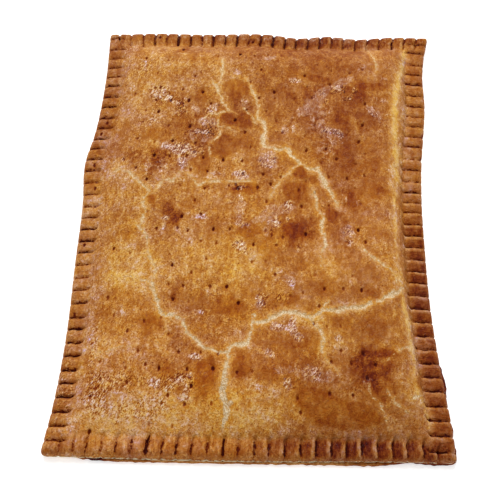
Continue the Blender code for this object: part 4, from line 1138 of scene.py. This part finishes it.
    # sparse short streaks, light and dark: the cube of a noise leaves only its peaks
    sparse = addNode(material, "Math", (share["peaks"], share["peaks"]), operation="MULTIPLY")
    sparse = addNode(material, "Math", (sparse, share["peaks"]), operation="MULTIPLY")
    grit = sums["grit"]
    for socket, weight in ((share["crinkle"], 0.06), (share["dots"], -0.36), (sparse, 0.05)):
        grit = addNode(material, "Math", (socket, weight, grit), operation="MULTIPLY_ADD")
    grit = addNode(material, "Math", (grit, share["grainy"]), operation="MULTIPLY")
    sidePucker = addNode(material, "Math", (noise["puckered"], field["sideRim"]), operation="MULTIPLY")
    endPucker = addNode(material, "Math", (brushed, field["endRim"]), operation="MULTIPLY")

    tone = field["tone"]
    # streaks and shining: painted highlight and shade of the film's folds, put into the tone
    for socket, weight in ((share["streaks"], 0.46), (share["shining"], -0.035), (broad, 0.10),
                           (share["patchy"], 0.06), (blotch, 0.20), (share["blotchy"], 0.055),
                           (grit, 1.0), (noise["brushedBroad"], 0.15), (sidePucker, 0.15),
                           (endPucker, 0.38), (noise["hue"], 0.10), (share["lipGlow"], 1.0),
                           (share["creaseGlow"], 1.0), (share["amber"], look["amberDrop"]),
                           (share["film"], look["filmLift"])):
        tone = addNode(material, "Math", (socket, weight, tone), operation="MULTIPLY_ADD")
    # the crease and the torn lips are golden; grooves and docking holes get the darkest tone, painted
    # shade in the crease and the pit
    for name, goal in (("creaseGap", sums["creaseTone"]), ("lipGap", sums["lipTone"]),
                       ("grooveGap", look["grooveTone"]), ("holeGap", look["holeTone"])):
        tone = addNode(material, "Mix", {0: share[name], 2: tone, 3: goal})
    baked = bakedDough(material, tone)

    # the film of egg is dull and pinkish, partly a painted sheen, thick glaze is a deep orange: more or
    # less blue light
    dulling = addNode(material, "Math", (field["dull"], look["dullStart"]), operation="ADD")
    for socket, weight in ((share["film"], 0.85), (share["amber"], -0.75), (share["lipGap"], -0.3),
                           (share["creaseGap"], -1.0), (noise["hue"], 4.4), (noise["hueBroad"], 3.4),
                           (speck, 0.8)):
        dulling = addNode(material, "Math", (socket, weight, dulling), operation="MULTIPLY_ADD")
    blueShare = addNode(material, "Math", (2.0, dulling), operation="POWER")
    redShare = addNode(material, "Math", (field["rosy"], look["rosyRed"], 1.0), operation="MULTIPLY_ADD")
    greenShare = addNode(material, "Math", (blueShare, look["dullGreen"]), operation="POWER")
    greenShare = addNode(material, "Math", (greenShare, redShare), operation="DIVIDE")
    channels = [addNode(material, "SeparateColor", (baked,), k) for k in range(3)]
    channels = [addNode(material, "Math", (channel, factor), operation="MULTIPLY")
                for channel, factor in zip(channels, (redShare, greenShare, blueShare))]
    colour = addNode(material, "CombineColor", channels)

    # the torn bed, the painted highlights on the folds of the film and the cut side, laid over it in turn
    bed = addNode(material, "Mix", {0: share["bedSpeck"], 6: linearColour(look["crackLow"]),
                                    7: linearColour(look["crackHigh"])}, 2, data_type="RGBA")
    for name, goal in (("bedGap", bed), ("fold", linearColour(look["foldHighlightColour"])),
                       ("cutEdge", linearColour(look["cutDough"]))):
        colour = addNode(material, "Mix", {0: share[name], 6: colour, 7: goal}, 2, data_type="RGBA")
    material.node_tree.links.new(colour, shader.inputs["Base Color"])

    shader.inputs["Specular IOR Level"].default_value = look["specular"]
    shader.inputs["Coat Roughness"].default_value = look["coatRoughness"]
    # roughness, coat and the relief of the dough and of the film, each a weighted sum
    for goal, total, parts in (
            ("Roughness", 0.60, ((fine, -0.2), (blotch, -0.2))),
            ("Coat Weight", 0.05, ((share["film"], 0.5),)),
            ("Normal", 0.0, ((fine, 0.8), (brushed, 0.5), (blotch, 1.2), (speck, 0.4),
                             (sidePucker, 1.0), (endPucker, 1.0))),
            ("Coat Normal", 0.0, ((noise["wrinkle"], 2.2), (fine, 0.13)))):
        for socket, weight in parts:
            total = addNode(material, "Math", (socket, weight, total), operation="MULTIPLY_ADD")
        if goal.endswith("Normal"):
            relief = {"Height": total, "Distance": look["bumpHeight"] * mm, "Strength": 1.0}
            total = addNode(material, "Bump", relief)
        material.node_tree.links.new(total, shader.inputs[goal])
    return material


sheetLook = {
    "roughness": 0.78, "ior": 1.45, "specular": 0.2, "bumpHeight": 0.8,
    # tone of the dough, and how much its height, its burnt places (one of them painted shade of the gap
    # under the top crust) and its patterns add to that
    "tone": 0.50, "top": 0.10, "burntAndGapShade": -0.40, "cloud": 0.7, "layer": 0.9,
    # patterns on it: size in mm, stretch, how far it is moved aside in metres
    "patterns": {"cloud": (9, (1, 1, 1), 0.0), "layer": (2.0, (1, 1, 3), 0.4)},
}


def makeSheetMaterial():
    # Bottom crust: dry layered dough, no egg wash, browned from below by the hot tray
    look = sheetLook
    material, shader = newMaterial("dryBakedBottomCrust", look["roughness"], look["ior"])
    place = addNode(material, "TexCoord", output="Object")
    level, burntAndGapShade = [addNode(material, "Attribute", output="Fac", attribute_name=key)
                    for key in ("layerHeight", "burntAndGapShade")]
    noise = {}
    for name, (size, stretch, aside) in look["patterns"].items():
        moved = addNode(material, "Mapping", {"Vector": place, "Scale": stretch,
                                              "Location": (aside, aside, 0)})
        grey = addNode(material, "TexNoise", {"Vector": moved, "Scale": 1 / (size * mm),
                                              "Detail": 3.0}, "Fac")
        noise[name] = addNode(material, "Math", (grey, 0.5), operation="SUBTRACT")
    tone = look["tone"]
    for socket, weight in ((level, look["top"]), (burntAndGapShade, look["burntAndGapShade"]), (noise["cloud"], look["cloud"]),
                           (noise["layer"], look["layer"])):
        tone = addNode(material, "Math", (socket, weight, tone), operation="MULTIPLY_ADD")
    relief = {"Height": noise["layer"], "Distance": look["bumpHeight"] * mm, "Strength": 1.0}
    tree = material.node_tree
    tree.links.new(bakedDough(material, tone), shader.inputs["Base Color"])
    tree.links.new(addNode(material, "Bump", relief), shader.inputs["Normal"])
    shader.inputs["Specular IOR Level"].default_value = look["specular"]
    return material


studio = {
    "floorSize": 40.0, "floorColour": "FFFFFF", "floorGlow": 0.5, "worldStrength": 0.46,
    # softboxes, all turned to one place: place in metres, size in metres, watts
    "aim": (0.0, 0.0, 0.02),
    "softboxes": {
        "backRight": ((0.28, 0.80, 1.30), 0.28, 5.0),
        "backLeft": ((-0.42, 0.95, 1.20), 0.28, 5.0),
        "aboveLeft": ((-0.22, 0.42, 1.45), 0.28, 4.0),
        "farBack": ((0.10, 1.25, 1.05), 0.30, 4.5),
    },
}


def makeStudio():
    # the floor, the even light of the room and the softboxes
    half = studio["floorSize"] / 2
    corners = [(x * half, y * half, 0) for x, y in ((-1, -1), (1, -1), (1, 1), (-1, 1))]
    mesh = bpy.data.meshes.new("paleFloor")
    mesh.from_pydata(corners, [], [(0, 1, 2, 3)])
    floor = bpy.data.objects.new("paleFloor", mesh)
    bpy.context.scene.collection.objects.link(floor)
    paint, shader = newMaterial("paleStudioPaper", 0.9, 1.45)
    shader.inputs["Base Color"].default_value = linearColour(studio["floorColour"])
    shader.inputs["Specular IOR Level"].default_value = 0.0
    shader.inputs["Emission Color"].default_value = (1, 1, 1, 1)
    shader.inputs["Emission Strength"].default_value = studio["floorGlow"]
    mesh.materials.append(paint)

    world = bpy.data.worlds.new("softRoom")
    world.use_nodes = True
    background = world.node_tree.nodes["Background"]
    background.inputs["Color"].default_value = (1, 1, 1, 1)
    background.inputs["Strength"].default_value = studio["worldStrength"]
    bpy.context.scene.world = world
    for name, (place, side, watts) in studio["softboxes"].items():
        lamp = bpy.data.lights.new(name, "AREA")
        lamp.shape, lamp.size, lamp.energy = "SQUARE", side, watts
        box = bpy.data.objects.new(name, lamp)
        box.location = place
        backX, backY, backZ = np.array(place) - studio["aim"]
        tilt = math.atan2(math.hypot(backX, backY), backZ)
        box.rotation_euler = (tilt, 0, math.atan2(backX, -backY))
        bpy.context.scene.collection.objects.link(box)
    bpy.context.scene.view_settings.view_transform = "Standard"


def makeCamera():
    # the photo's angle, with no shift and no depth of field
    camera = bpy.data.objects.new("photoView", bpy.data.cameras.new("photoView"))
    camera.data.lens = view["lens"]
    camera.data.sensor_width = view["sensor"]
    camera.data.clip_start, camera.data.clip_end = 0.01, 20
    camera.location = [value * mm for value in view["place"]]
    camera.rotation_euler = (math.radians(90 - view["down"]), 0, math.radians(view["turn"]))
    bpy.context.scene.collection.objects.link(camera)
    bpy.context.scene.camera = camera


makeCamera()
makeStudio()
print("camera and studio made")

topCrust = makeTopCrust(makeCrustMaterial())
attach(topCrust, "root")
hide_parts("top_crust")
print("top crust made,", len(topCrust.data.polygons), "faces")

bottomCrust = makeBottomCrust(makeSheetMaterial())
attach(bottomCrust, "root")
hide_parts("bottom_crust")
print("bottom crust made,", len(bottomCrust.data.polygons), "faces")
